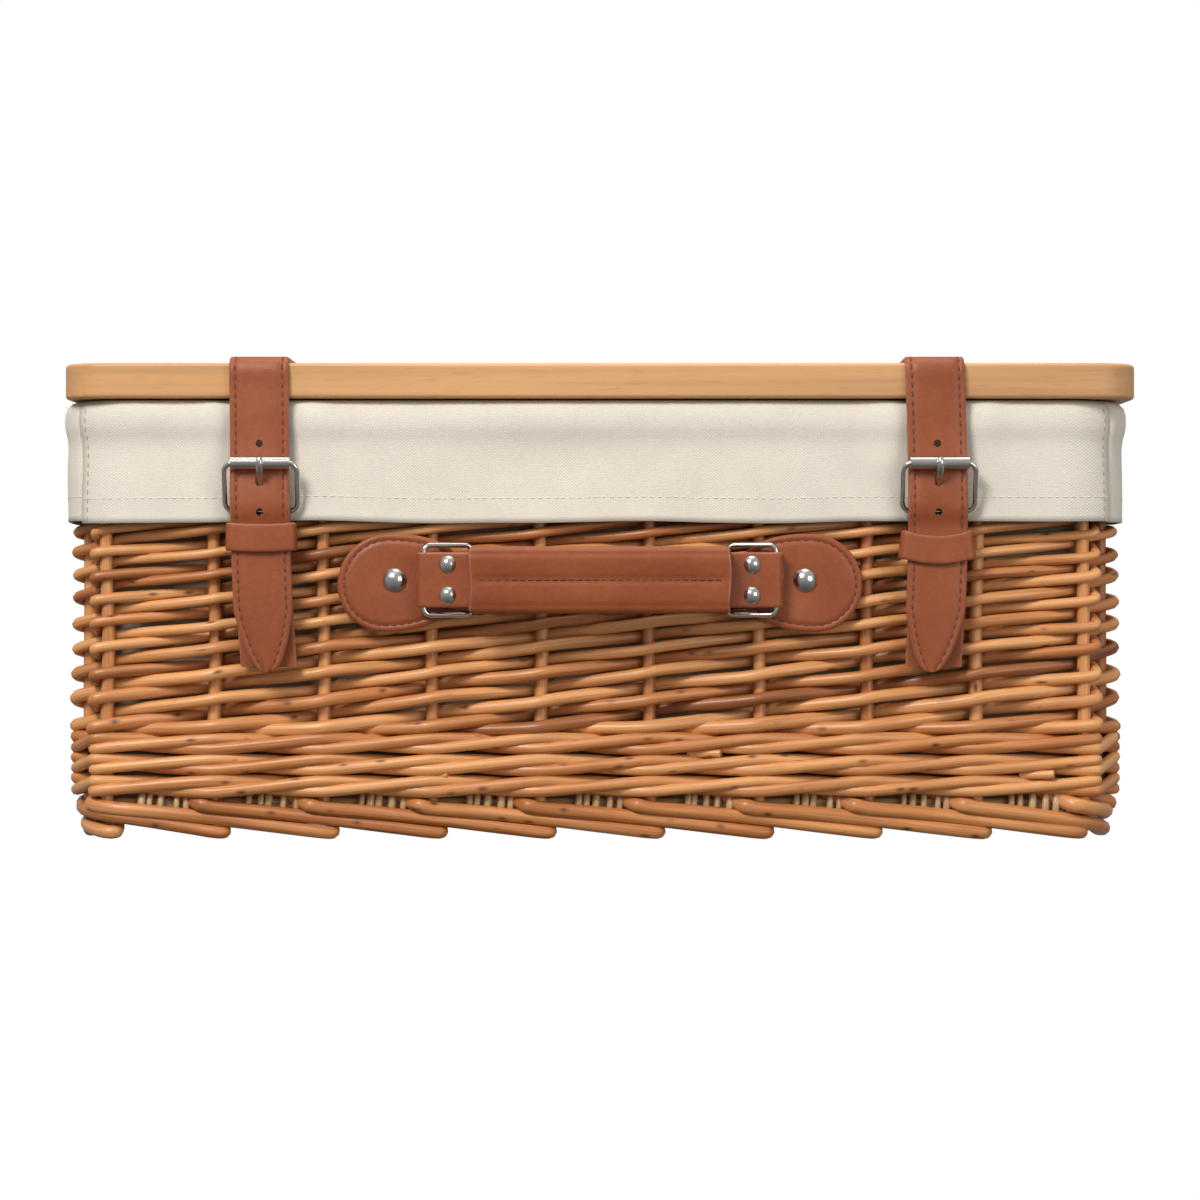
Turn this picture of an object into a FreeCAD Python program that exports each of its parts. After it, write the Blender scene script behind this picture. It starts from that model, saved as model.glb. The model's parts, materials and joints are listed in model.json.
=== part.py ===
"""Wicker hamper with a cloth liner, a board lid, two strap closures and a front handle.

Millimetres, +Z up. The basket stands on Z = 0 and its front faces -Y. Every solid is drawn about the
centre of the woven body, and is moved along Y at the end so that the origin lies under the centre of
the whole object.
"""
import FreeCAD, Part
import math
import os

V = FreeCAD.Vector
Y_AXIS = V(0, 1, 0)

# woven body: half sizes of the line through the stakes, and the wall built about that line
STAKE_HALF_X = 217.5
STAKE_HALF_Y = 142.5
STAKE_CORNER_R = 20.0
STAKE_R = 2.8
STAKE_HOLE_R = 2.9
STAKE_PITCH_FRONT = 46.2
STAKE_PITCH_SIDE = 48.2
STAKES_FRONT = 10
STAKES_SIDE = 6
WALL_HALF = 7.5
FOOT_OUT = 5.0
STAKE_BOTTOM = 3.0

# heights of the woven bands
FOOT_TOP = 18.4
BASE_BOTTOM = 9.2
BASE_TOP = 18.4
LOWER_WALE_TOP = 45.7
SIDE_TOP = 158.0
UPPER_WALE_TOP = 172.0
BORDER_TOP = 186.0
STAKE_TOP = 180.0

# base
BASE_STICK_R = 3.4
BASE_STICK_PITCH = 38.0
BASE_STICKS = 7
BASE_STICK_PLAY = 0.1
BASE_STICK_SHORT = 1.0

# liner
CLOTH = 1.5
CLOTH_GAP = 0.3
CUFF_FRONT = 9.8
CUFF_BOTTOM = 135.8
CUFF_TOP = 188.2
FLOOR_BOTTOM = 18.5

# lid
LID_HALF_X = 230.0
LID_HALF_Y = 155.0
LID_BOTTOM = 188.5
LID_TOP = 203.5
LID_CORNER_R = 20.0
LID_EDGE_R = 1.6
BATTEN_X = 95.0
BATTEN_WIDTH = 34.0
BATTEN_HALF_Y = 118.0
BATTEN_BOTTOM = 178.5
BATTEN_CHAMFER = 2.0

# straps
STRAP_X = 144.0
STRAP_WIDTH = 25.0
STRAP_THICK = 3.0
STRAP_TIP_Z = 72.0
STRAP_TIP_R = 6.0
STRAP_TAPER = 20.0
STRAP_END_OVER_BACK = 5.0
STRAP_GAP = 0.3
PRONG_HOLE_HALF = 1.9
PRONG_HOLE_Z = (147.0, 155.0)
STRAP_HOLE_R = 1.5
STRAP_HOLE_TOP_Z = 168.0
STRAP_HOLE_PITCH = 15.0
ANCHOR_TOP = 183.0
ANCHOR_BOTTOM = 104.0

# buckles: the heel bar is held in the folded tab, the roller turns on the bar opposite
HEEL_Y = -155.3
HEEL_Z = 140.3
ROLLER_Y = -162.6
ROLLER_Z = 160.6
BUCKLE_WIRE_R = 1.1
BUCKLE_HALF_X = 14.6
BUCKLE_BEND_R = 1.9
ROLLER_R = 2.75
ROLLER_HALF = 12.5
RUN_GAP = 0.08
TAB_BACK = -152.6
TAB_THICK = 3.0
TAB_BOTTOM = 74.0
TAB_LOOP_R = 2.7
PRONG_R = 1.0
PRONG_BARREL_R = 2.3
PRONG_BARREL_HALF = 1.6
PRONG_SLOT = 4.8
PRONG_SLOT_Z = (-5.0, 6.0)

# keepers
KEEPER_HEIGHT = 12.0
KEEPER_WALL = 1.6
KEEPER_CORNER_R = 1.4
KEEPER_INSIDE_X = 13.3
KEEPER_BACK = -150.4
KEEPER_FRONT = -161.5
KEEPER_TOP_LEFT = 135.4
KEEPER_TOP_RIGHT = 133.4

# handle
HANDLE_Z = 111.0
GRIP_HALF_X = 55.0
GRIP_HALF_Z = 14.2
GRIP_HALF_Y = 7.0
GRIP_Y = -166.4
COVER_THICK = 1.6
CORE_PLAY = 0.1
CORE_SHORT = 3.0
RING_WIRE_R = 1.15
RING_HALF_Z = 14.85
RING_BEND_R = 3.0
RING_INNER_X = 54.5
RING_INNER_Y = -153.9
RING_OUTER_X = 74.8
RING_OUTER_Y = -158.3
LOOP_PIVOT_X = 57.0
LOOP_PIVOT_Y = -161.2
LOOP_HALF_Z = 11.75
LOOP_HALF_THICK = 1.6
LOOP_CAVITY_R = 1.65
LOOP_OUTER_R = 3.1
LOOP_RIVET_X = 64.6
LOOP_RIVET_SPREAD = 6.5
PAD_BACK = -150.3
PAD_FRONT = -153.5
PAD_ROUND_X = 90.0
PAD_ROUND_R = 20.9
PAD_NECK_HALF_Z = 11.7
PAD_LOOP_R = 2.65
PAD_CAVITY_R = 1.2
PAD_RIVET_X = 87.5

# fasteners
RIVET_SHANK_R = 2.0
RIVET_HOLE_R = 2.1
WASHER_R = 6.5
WASHER_THICK = 1.2
INSIDE_FACE = -133.2
WALL_BAR_IN = 120.0
WALL_BAR_OUT = 170.0
BACK_STRAP_OUT = 158.3
TAB_RIVET_Z = (80.0, 98.0)
ANCHOR_RIVET_Z = (112.0, 152.0)
STRAP_SCREW_Y = (-100.0, 100.0)
BATTEN_SCREW_Y = (-95.0, 0.0, 95.0)
SCREW_SHANK_R = 1.5
SCREW_HOLE_R = 1.6
BATTEN_SCREW_LENGTH = 18.0
STRAP_SCREW_LENGTH = 13.0
SCREW_HOLE_DEEPER = 0.1
LOOP_RIVET_R = 1.2
LOOP_RIVET_PLAY = 0.05
LOOP_BACK_HEAD_R = 3.0
LOOP_BACK_HEAD = 0.6

# heads, as radius and height
BATTEN_SCREW_HEAD = (3.2, 1.2)
STRAP_SCREW_HEAD = (3.6, 1.4)
LOOP_RIVET_HEAD = (3.9, 2.1)
PAD_RIVET_HEAD = (5.1, 2.6)
TAB_RIVET_HEAD = (4.0, 0.8)
ANCHOR_RIVET_HEAD = (4.5, 2.2)

# the object reaches further in front of the woven body, by the grip, than behind it, by the straps
FRONT_REACH = -(GRIP_Y - GRIP_HALF_Y)
Y_SHIFT = (FRONT_REACH - BACK_STRAP_OUT) / 2

SIDES = (("left", -1), ("right", 1))


def rounded_block(half_x, half_y, corner, bottom, top):
    """Upright block with a rounded-rectangle plan."""
    low_x, low_y = half_x - corner, half_y - corner
    diagonal = corner * math.sqrt(0.5)
    centres = ((low_x, low_y, 1, 1), (-low_x, low_y, -1, 1), (-low_x, -low_y, -1, -1), (low_x, -low_y, 1, -1))
    edges = []
    starts = []
    for cx, cy, sx, sy in centres:
        on_x_side = V(cx + sx * corner, cy, bottom)
        on_y_side = V(cx, cy + sy * corner, bottom)
        middle = V(cx + sx * diagonal, cy + sy * diagonal, bottom)
        if sx * sy > 0:
            starts.append((on_x_side, middle, on_y_side))
        else:
            starts.append((on_y_side, middle, on_x_side))
    for index, (begin, middle, end) in enumerate(starts):
        edges.append(Part.Arc(begin, middle, end).toShape())
        edges.append(Part.LineSegment(end, starts[(index + 1) % 4][0]).toShape())
    return Part.Face(Part.Wire(edges)).extrude(V(0, 0, top - bottom))


def offset_block(offset, bottom, top):
    """Rounded block whose side stands at an offset outside the line of the stakes."""
    return rounded_block(STAKE_HALF_X + offset, STAKE_HALF_Y + offset, STAKE_CORNER_R + offset, bottom, top)


def ring(outside, inside, bottom, top):
    """Closed wall between two offsets from the line of the stakes."""
    return offset_block(outside, bottom, top).cut(offset_block(inside, bottom - 1, top + 1))


def box(low_x, high_x, low_y, high_y, low_z, high_z):
    return Part.makeBox(high_x - low_x, high_y - low_y, high_z - low_z, V(low_x, low_y, low_z))


def prism(points, direction):
    """Solid swept from a flat polygon."""
    corners = [V(*point) for point in points]
    return Part.Face(Part.makePolygon(corners + corners[:1])).extrude(direction)


def rod(radius, begin, end):
    """Round bar between two points."""
    axis = V(*end) - V(*begin)
    return Part.makeCylinder(radius, axis.Length, V(*begin), axis)


def side_view_strip(back_line, thick, centre_x, width):
    """Strap of even thickness that follows a line of (y, z) points on its back face."""
    low_x = centre_x - width / 2
    front_line = [(y - thick, z) for y, z in reversed(back_line)]
    outline = [(low_x, y, z) for y, z in list(back_line) + front_line]
    return prism(outline, V(width, 0, 0))


def front_outline(points, low_y, high_y):
    """Prism along Y from a polygon of (x, z) points."""
    return prism([(x, low_y, z) for x, z in points], V(0, high_y - low_y, 0))


def dome(head, centre, direction):
    """Rivet or screw head: a spherical cap, given as radius and height, on a flat back."""
    radius, height = head
    sphere_r = (radius ** 2 + height ** 2) / (2 * height)
    way = V(*direction)
    sphere = Part.makeSphere(sphere_r, V(*centre) + way * (height - sphere_r))
    return sphere.common(Part.makeCylinder(radius + 1, height + 1, V(*centre), way))


def stake_places():
    """Plan position of each stake, by the side that it stands on."""
    corner_x = STAKE_HALF_X - STAKE_CORNER_R
    corner_y = STAKE_HALF_Y - STAKE_CORNER_R
    front = []
    for index in range(STAKES_FRONT):
        x = (index - (STAKES_FRONT - 1) / 2) * STAKE_PITCH_FRONT
        past_corner = max(0.0, abs(x) - corner_x)
        y = -corner_y - math.sqrt(STAKE_CORNER_R ** 2 - past_corner ** 2)
        front.append((x, y))
    right = []
    for index in range(STAKES_SIDE):
        right.append((STAKE_HALF_X, (index - (STAKES_SIDE - 1) / 2) * STAKE_PITCH_SIDE))
    return {
        "front_stakes": front,
        "back_stakes": [(x, -y) for x, y in front],
        "left_stakes": [(-x, y) for x, y in right],
        "right_stakes": right,
    }


STAKES = stake_places()
STAKE_LIST = [place for places in STAKES.values() for place in places]


def stake_bars(places, radius, bottom, top):
    return Part.makeCompound([rod(radius, (x, y, bottom), (x, y, top)) for x, y in places])


def front_rivet_holes():
    """Bars along Y where rivets pass the front wall."""
    places = [(side * PAD_RIVET_X, HANDLE_Z) for _, side in SIDES]
    places += [(side * STRAP_X, z) for _, side in SIDES for z in TAB_RIVET_Z]
    return hole_bars(places, -1)


def back_rivet_holes():
    """Bars along Y where rivets pass the back wall."""
    return hole_bars([(side * STRAP_X, z) for _, side in SIDES for z in ANCHOR_RIVET_Z], 1)


def hole_bars(places, way):
    """Bars along Y that pass right through the front wall or the back one and all that is on it."""
    return Part.makeCompound(
        [rod(RIVET_HOLE_R, (x, way * WALL_BAR_IN, z), (x, way * WALL_BAR_OUT, z)) for x, z in places])


def woven_band(outside, inside, bottom, top, stake_top=STAKE_TOP):
    """One band of weave, with a hole for each stake and each rivet that it holds."""
    band = ring(outside, inside, bottom, top)
    band = band.cut(stake_bars(STAKE_LIST, STAKE_HOLE_R, bottom - 1, min(top + 1, stake_top)))
    return band.cut(front_rivet_holes()).cut(back_rivet_holes())


def base_nodes():
    places = [(i - (BASE_STICKS - 1) / 2) * BASE_STICK_PITCH for i in range(BASE_STICKS)]
    mid_z = (BASE_BOTTOM + BASE_TOP) / 2
    reach = STAKE_HALF_X - WALL_HALF - BASE_STICK_SHORT
    plate = offset_block(-WALL_HALF - CLOTH_GAP, BASE_BOTTOM, BASE_TOP)
    hole_r = BASE_STICK_R + BASE_STICK_PLAY
    holes = [rod(hole_r, (-STAKE_HALF_X, y, mid_z), (STAKE_HALF_X, y, mid_z)) for y in places]
    sticks = [rod(BASE_STICK_R, (-reach, y, mid_z), (reach, y, mid_z)) for y in places]
    return {
        "base_weave": plate.cut(Part.makeCompound(holes)),
        "base_sticks": Part.makeCompound(sticks),
    }


def wicker_nodes():
    nodes = base_nodes()
    for name, places in STAKES.items():
        nodes[name] = stake_bars(places, STAKE_R, STAKE_BOTTOM, STAKE_TOP)
    foot = ring(FOOT_OUT, -WALL_HALF, 0.0, FOOT_TOP)
    nodes["foot_border"] = foot.cut(stake_bars(STAKE_LIST, STAKE_HOLE_R, STAKE_BOTTOM, FOOT_TOP + 1))
    nodes["lower_wale"] = woven_band(WALL_HALF, -WALL_HALF, FOOT_TOP, LOWER_WALE_TOP)
    nodes["side_weave"] = woven_band(WALL_HALF, -WALL_HALF, LOWER_WALE_TOP, SIDE_TOP)
    nodes["upper_wale"] = woven_band(WALL_HALF, -WALL_HALF, SIDE_TOP, UPPER_WALE_TOP)
    nodes["top_border"] = woven_band(WALL_HALF, -WALL_HALF, UPPER_WALE_TOP, BORDER_TOP)
    return nodes


def liner_nodes():
    """Cloth bag inside the basket, turned over the rim into a cuff, in four panels and a floor."""
    wall_in = -WALL_HALF - CLOTH_GAP
    inner = ring(wall_in, wall_in - CLOTH, FLOOR_BOTTOM, CUFF_TOP)
    cap = ring(CUFF_FRONT, wall_in, CUFF_TOP - CLOTH, CUFF_TOP)
    cuff = ring(CUFF_FRONT, WALL_HALF + CLOTH_GAP, CUFF_BOTTOM, CUFF_TOP - CLOTH)
    shell = inner.fuse([cap, cuff]).removeSplitter()
    shell = shell.cut(front_rivet_holes()).cut(back_rivet_holes())
    mid_x = STAKE_HALF_X - STAKE_HALF_Y
    far = STAKE_HALF_X + 2 * STAKE_CORNER_R
    reach = far - mid_x
    wedges = {
        "liner_front_panel": ((-mid_x, 0), (mid_x, 0), (far, -reach), (-far, -reach)),
        "liner_back_panel": ((-mid_x, 0), (mid_x, 0), (far, reach), (-far, reach)),
        "liner_left_panel": ((-mid_x, 0), (-far, reach), (-far, -reach)),
        "liner_right_panel": ((mid_x, 0), (far, reach), (far, -reach)),
    }
    nodes = {}
    for name, plan in wedges.items():
        wedge = prism([(x, y, 0) for x, y in plan], V(0, 0, CUFF_TOP + 1))
        nodes[name] = shell.common(wedge)
    nodes["liner_floor"] = offset_block(wall_in - CLOTH - CLOTH_GAP, FLOOR_BOTTOM, FLOOR_BOTTOM + CLOTH)
    return nodes


def screw(x, y, top_z, head, length, up):
    """Wood screw with a low head; up is 1 for a head on top, -1 for one driven from below."""
    shank = rod(SCREW_SHANK_R, (x, y, top_z), (x, y, top_z - up * length))
    return shank.fuse(dome(head, (x, y, top_z), (0, 0, up)))


def screw_hole(x, y, top_z, length, up):
    deepest = top_z - up * (length + SCREW_HOLE_DEEPER)
    return rod(SCREW_HOLE_R, (x, y, top_z + up), (x, y, deepest))


def lid_nodes():
    board = rounded_block(LID_HALF_X, LID_HALF_Y, LID_CORNER_R, LID_BOTTOM, LID_TOP)
    rims = [e for e in board.Edges if abs(e.BoundBox.ZMin - e.BoundBox.ZMax) < 0.01]
    board = board.makeFillet(LID_EDGE_R, rims)
    battens = []
    batten_screws = []
    batten_holes = []
    for _, side in SIDES:
        x = side * BATTEN_X
        half = BATTEN_WIDTH / 2
        bar = box(x - half, x + half, -BATTEN_HALF_Y, BATTEN_HALF_Y, BATTEN_BOTTOM, LID_BOTTOM)
        under = [e for e in bar.Edges if e.BoundBox.ZMax < BATTEN_BOTTOM + 0.01]
        bar = bar.makeChamfer(BATTEN_CHAMFER, under)
        battens.append(bar)
        for y in BATTEN_SCREW_Y:
            batten_screws.append(screw(x, y, BATTEN_BOTTOM, BATTEN_SCREW_HEAD, BATTEN_SCREW_LENGTH, -1))
            batten_holes.append(screw_hole(x, y, BATTEN_BOTTOM, BATTEN_SCREW_LENGTH, -1))
    strap_screws = []
    strap_holes = []
    nodes = {}
    strap_top = LID_TOP + STRAP_THICK
    for name, side in SIDES:
        x = side * STRAP_X
        low_x, high_x = x - STRAP_WIDTH / 2, x + STRAP_WIDTH / 2
        over = box(low_x, high_x, -LID_HALF_Y, BACK_STRAP_OUT, LID_TOP, strap_top)
        down_bottom = LID_BOTTOM + STRAP_END_OVER_BACK
        down = box(low_x, high_x, LID_HALF_Y + STRAP_GAP, BACK_STRAP_OUT, down_bottom, LID_TOP)
        holes = []
        for y in STRAP_SCREW_Y:
            strap_screws.append(screw(x, y, strap_top, STRAP_SCREW_HEAD, STRAP_SCREW_LENGTH, 1))
            holes.append(screw_hole(x, y, strap_top, STRAP_SCREW_LENGTH, 1))
        strap_holes += holes
        nodes[name + "_strap"] = over.fuse(down).removeSplitter().cut(Part.makeCompound(holes))
    nodes["lid_board"] = board.cut(Part.makeCompound(strap_holes + batten_holes))
    nodes["lid_battens"] = Part.makeCompound([bar.cut(Part.makeCompound(batten_holes)) for bar in battens])
    nodes["batten_screws"] = Part.makeCompound(batten_screws)
    nodes["strap_screws"] = Part.makeCompound(strap_screws)
    return nodes


TAIL_BACK_LINE = (
    (-155.3, LID_TOP + STRAP_THICK),
    (-155.3, 172.0),
    (-156.6, 160.6),
    (-158.3, 144.0),
    (-158.3, 139.0),
    (-156.7, 135.8),
    (-156.7, STRAP_TIP_Z),
)


def tail(side):
    """Free end of a strap: down the front of the lid, through the buckle and the keeper, to a point."""
    x = side * STRAP_X
    half = STRAP_WIDTH / 2
    strip = side_view_strip(TAIL_BACK_LINE, STRAP_THICK, x, STRAP_WIDTH)
    shoulder = STRAP_TIP_Z + STRAP_TAPER
    tip_half = STRAP_TIP_R * 0.8
    tip_side = STRAP_TIP_Z + STRAP_TIP_R * 0.5
    top = LID_TOP + 2 * STRAP_THICK
    outline = (
        (x - half, top),
        (x - half, shoulder),
        (x - tip_half, tip_side),
        (x, STRAP_TIP_Z),
        (x + tip_half, tip_side),
        (x + half, shoulder),
        (x + half, top),
    )
    strip = strip.common(front_outline(outline, -WALL_BAR_OUT, -WALL_BAR_IN))
    for index in (0, 2):
        z = STRAP_HOLE_TOP_Z - index * STRAP_HOLE_PITCH
        strip = strip.cut(rod(STRAP_HOLE_R, (x, -WALL_BAR_OUT, z), (x, -WALL_BAR_IN, z)))
    low_z, high_z = PRONG_HOLE_Z
    drawn = box(x - PRONG_HOLE_HALF, x + PRONG_HOLE_HALF, -WALL_BAR_OUT, -WALL_BAR_IN, low_z, high_z)
    return strip.cut(drawn)


def buckle_tab(side):
    """Leather folded round the heel bar, with a slot for the prong, and riveted to the wall."""
    x = side * STRAP_X
    low_x, high_x = x - STRAP_WIDTH / 2, x + STRAP_WIDTH / 2
    strap = box(low_x, high_x, TAB_BACK - TAB_THICK, TAB_BACK, TAB_BOTTOM, HEEL_Z)
    loop = rod(TAB_LOOP_R, (low_x, HEEL_Y, HEEL_Z), (high_x, HEEL_Y, HEEL_Z))
    tab = strap.fuse(loop)
    tab = tab.cut(rod(BUCKLE_WIRE_R + RUN_GAP, (low_x - 1, HEEL_Y, HEEL_Z), (high_x + 1, HEEL_Y, HEEL_Z)))
    slot_half = PRONG_SLOT / 2
    low_z, high_z = (HEEL_Z + z for z in PRONG_SLOT_Z)
    tab = tab.cut(box(x - slot_half, x + slot_half, -WALL_BAR_OUT, -WALL_BAR_IN, low_z, high_z))
    return tab.cut(front_rivet_holes())


def wire_loop(corners, bend_r, wire_r):
    """Closed wire through four coplanar corners, with rounded bends."""
    points = [V(*corner) for corner in corners]
    bends = []
    for index, corner in enumerate(points):
        before = (points[index - 1] - corner).normalize()
        after = (points[(index + 1) % len(points)] - corner).normalize()
        inward = (before + after).normalize()
        middle = corner + inward * (bend_r * (math.sqrt(2) - 1))
        bends.append((corner + before * bend_r, middle, corner + after * bend_r))
    edges = []
    for index, (_, _, leave) in enumerate(bends):
        begin, middle, end = bends[(index + 1) % len(bends)]
        edges.append(Part.LineSegment(leave, begin).toShape())
        edges.append(Part.Arc(begin, middle, end).toShape())
    start = bends[0][2]
    section = Part.Wire([Part.makeCircle(wire_r, start, bends[1][0] - start)])
    swept = Part.Wire(edges).makePipeShell([section], True, False)
    return swept if swept.ShapeType == "Solid" else Part.Solid(swept)


PRONG_LINE = ((-155.5, 141.9), (-156.0, 148.6), (-160.9, 153.0), (-166.6, 158.8), (-167.0, 163.2))


def buckle_nodes(name, side):
    x = side * STRAP_X
    low_x, high_x = x - BUCKLE_HALF_X, x + BUCKLE_HALF_X
    frame = wire_loop(
        (
            (low_x, HEEL_Y, HEEL_Z),
            (high_x, HEEL_Y, HEEL_Z),
            (high_x, ROLLER_Y, ROLLER_Z),
            (low_x, ROLLER_Y, ROLLER_Z),
        ),
        BUCKLE_BEND_R,
        BUCKLE_WIRE_R,
    )
    begin = (x - ROLLER_HALF, ROLLER_Y, ROLLER_Z)
    end = (x + ROLLER_HALF, ROLLER_Y, ROLLER_Z)
    roller = rod(ROLLER_R, begin, end).cut(rod(BUCKLE_WIRE_R + RUN_GAP, begin, end))
    barrel_ends = [(x + way * PRONG_BARREL_HALF, HEEL_Y, HEEL_Z) for way in (-1, 1)]
    barrel = rod(PRONG_BARREL_R, *barrel_ends)
    pieces = []
    for (y0, z0), (y1, z1) in zip(PRONG_LINE, PRONG_LINE[1:]):
        pieces.append(rod(PRONG_R, (x, y0, z0), (x, y1, z1)))
        pieces.append(Part.makeSphere(PRONG_R, V(x, y1, z1)))
    prong = barrel.fuse(pieces)
    bore = rod(BUCKLE_WIRE_R + RUN_GAP, (low_x, HEEL_Y, HEEL_Z), (high_x, HEEL_Y, HEEL_Z))
    return {
        name + "_buckle_frame": frame,
        name + "_roller": roller,
        name + "_prong": prong.cut(bore),
        name + "_buckle_tab": buckle_tab(side),
    }


def keeper(side, top):
    x = side * STRAP_X
    out_x = KEEPER_INSIDE_X + KEEPER_WALL
    low = top - KEEPER_HEIGHT
    outside = box(x - out_x, x + out_x, KEEPER_FRONT, KEEPER_BACK, low, top)
    upright = [e for e in outside.Edges if e.BoundBox.ZLength > KEEPER_HEIGHT - 0.1]
    outside = outside.makeFillet(KEEPER_CORNER_R, upright)
    inside = box(
        x - KEEPER_INSIDE_X,
        x + KEEPER_INSIDE_X,
        KEEPER_FRONT + KEEPER_WALL,
        KEEPER_BACK - KEEPER_WALL,
        low - 1,
        top + 1,
    )
    return outside.cut(inside)


def handle_pad(side):
    """Round leather pad whose neck is folded round the inner bar of the ring."""
    neck_x = side * RING_INNER_X
    centre = V(side * PAD_ROUND_X, PAD_FRONT, HANDLE_Z)
    disc = Part.makeCylinder(PAD_ROUND_R, PAD_BACK - PAD_FRONT, centre, Y_AXIS)
    reach = PAD_ROUND_X - RING_INNER_X
    neck_far = math.hypot(reach, PAD_NECK_HALF_Z)
    touch_angle = math.atan2(PAD_NECK_HALF_Z, reach) + math.acos(PAD_ROUND_R / neck_far)
    touch_x = side * (PAD_ROUND_X - PAD_ROUND_R * math.cos(touch_angle))
    touch_z = PAD_ROUND_R * math.sin(touch_angle)
    neck = front_outline(
        (
            (neck_x, HANDLE_Z - PAD_NECK_HALF_Z),
            (touch_x, HANDLE_Z - touch_z),
            (side * PAD_ROUND_X, HANDLE_Z - touch_z),
            (side * PAD_ROUND_X, HANDLE_Z + touch_z),
            (touch_x, HANDLE_Z + touch_z),
            (neck_x, HANDLE_Z + PAD_NECK_HALF_Z),
        ),
        PAD_FRONT,
        PAD_BACK,
    )
    low, high = HANDLE_Z - PAD_NECK_HALF_Z, HANDLE_Z + PAD_NECK_HALF_Z
    loop = rod(PAD_LOOP_R, (neck_x, RING_INNER_Y, low), (neck_x, RING_INNER_Y, high))
    cavity = rod(PAD_CAVITY_R, (neck_x, RING_INNER_Y, low - 1), (neck_x, RING_INNER_Y, high + 1))
    pad = disc.fuse([neck, loop]).removeSplitter()
    return pad.cut(cavity).cut(front_rivet_holes())


def loop_point(side, along, across):
    """Point in the plan of an end loop: along its length from the pivot, across from its middle."""
    run_x = -(RING_OUTER_X - LOOP_PIVOT_X)
    run_y = RING_OUTER_Y - LOOP_PIVOT_Y
    length = math.hypot(run_x, run_y)
    ux, uy = run_x / length, run_y / length
    x = -LOOP_PIVOT_X + along * ux - across * uy
    y = LOOP_PIVOT_Y + along * uy + across * ux
    return (-side * x, y)


LOOP_LENGTH = math.hypot(RING_OUTER_X - LOOP_PIVOT_X, RING_OUTER_Y - LOOP_PIVOT_Y)


def end_loop(side):
    """Stiff leather loop that joins one end of the grip to the outer bar of a ring."""
    low, high = HANDLE_Z - LOOP_HALF_Z, HANDLE_Z + LOOP_HALF_Z
    corners = []
    for along, across in ((0, -1), (LOOP_LENGTH, -1), (LOOP_LENGTH, 1), (0, 1)):
        x, y = loop_point(side, along, across * LOOP_HALF_THICK)
        corners.append((x, y, low))
    plate = prism(corners, V(0, 0, high - low))
    pivot = loop_point(side, 0, 0)
    bar = loop_point(side, LOOP_LENGTH, 0)
    solid = plate.fuse([
        rod(LOOP_HALF_THICK, pivot + (low,), pivot + (high,)),
        rod(LOOP_OUTER_R, bar + (low,), bar + (high,)),
    ])
    solid = solid.cut(rod(LOOP_CAVITY_R, bar + (low - 1,), bar + (high + 1,)))
    return solid.removeSplitter().cut(loop_rivets(side, LOOP_RIVET_R + LOOP_RIVET_PLAY, heads=False))


def loop_rivets(side, shank_r, heads=True):
    """Two small rivets through an end loop, with domes in front and flat heads behind."""
    along = LOOP_RIVET_X - LOOP_PIVOT_X
    solids = []
    for up in (-1, 1):
        z = HANDLE_Z + up * LOOP_RIVET_SPREAD
        front = loop_point(side, along, LOOP_HALF_THICK)
        back = loop_point(side, along, -LOOP_HALF_THICK)
        way = V(front[0] - back[0], front[1] - back[1], 0).normalize()
        shank = rod(shank_r, back + (z,), front + (z,))
        if heads:
            front_head = dome(LOOP_RIVET_HEAD, front + (z,), tuple(way))
            back_head = Part.makeCylinder(LOOP_BACK_HEAD_R, LOOP_BACK_HEAD, V(back[0], back[1], z), way * -1)
            shank = shank.fuse([front_head, back_head])
        solids.append(shank)
    return Part.makeCompound(solids)


def handle_nodes():
    nodes = {}
    for name, side in SIDES:
        low, high = HANDLE_Z - RING_HALF_Z, HANDLE_Z + RING_HALF_Z
        nodes[name + "_handle_ring"] = wire_loop(
            (
                (side * RING_INNER_X, RING_INNER_Y, low),
                (side * RING_INNER_X, RING_INNER_Y, high),
                (side * RING_OUTER_X, RING_OUTER_Y, high),
                (side * RING_OUTER_X, RING_OUTER_Y, low),
            ),
            RING_BEND_R,
            RING_WIRE_R,
        )
        nodes[name + "_handle_pad"] = handle_pad(side)
        nodes[name + "_handle_loop"] = end_loop(side)
        nodes[name + "_loop_rivets"] = loop_rivets(side, LOOP_RIVET_R)
    centre = V(-GRIP_HALF_X, GRIP_Y, HANDLE_Z)
    outer = oval_bar(centre, GRIP_HALF_Z, GRIP_HALF_Y, 2 * GRIP_HALF_X)
    hollow = oval_bar(centre, GRIP_HALF_Z - COVER_THICK, GRIP_HALF_Y - COVER_THICK, 2 * GRIP_HALF_X)
    inset = COVER_THICK + CORE_PLAY
    core_start = centre + V(CORE_SHORT, 0, 0)
    core_length = 2 * (GRIP_HALF_X - CORE_SHORT)
    nodes["handle_cover"] = outer.cut(hollow)
    nodes["handle_core"] = oval_bar(core_start, GRIP_HALF_Z - inset, GRIP_HALF_Y - inset, core_length)
    return nodes


def oval_bar(start, half_z, half_y, length):
    """Bar along X with an oval section, taller than it is deep."""
    high = start + V(0, 0, half_z)
    front = start + V(0, -half_y, 0)
    section = Part.Ellipse(high, front, start).toShape()
    return Part.Face(Part.Wire([section])).extrude(V(length, 0, 0))


def wall_rivet(x, head_y, washer_y, z, head, way):
    """Rivet along Y with a head outside the wall; way is -1 on the front wall and 1 on the back."""
    shank = rod(RIVET_SHANK_R, (x, head_y, z), (x, washer_y, z))
    return shank.fuse(dome(head, (x, head_y, z), (0, way, 0)))


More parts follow.
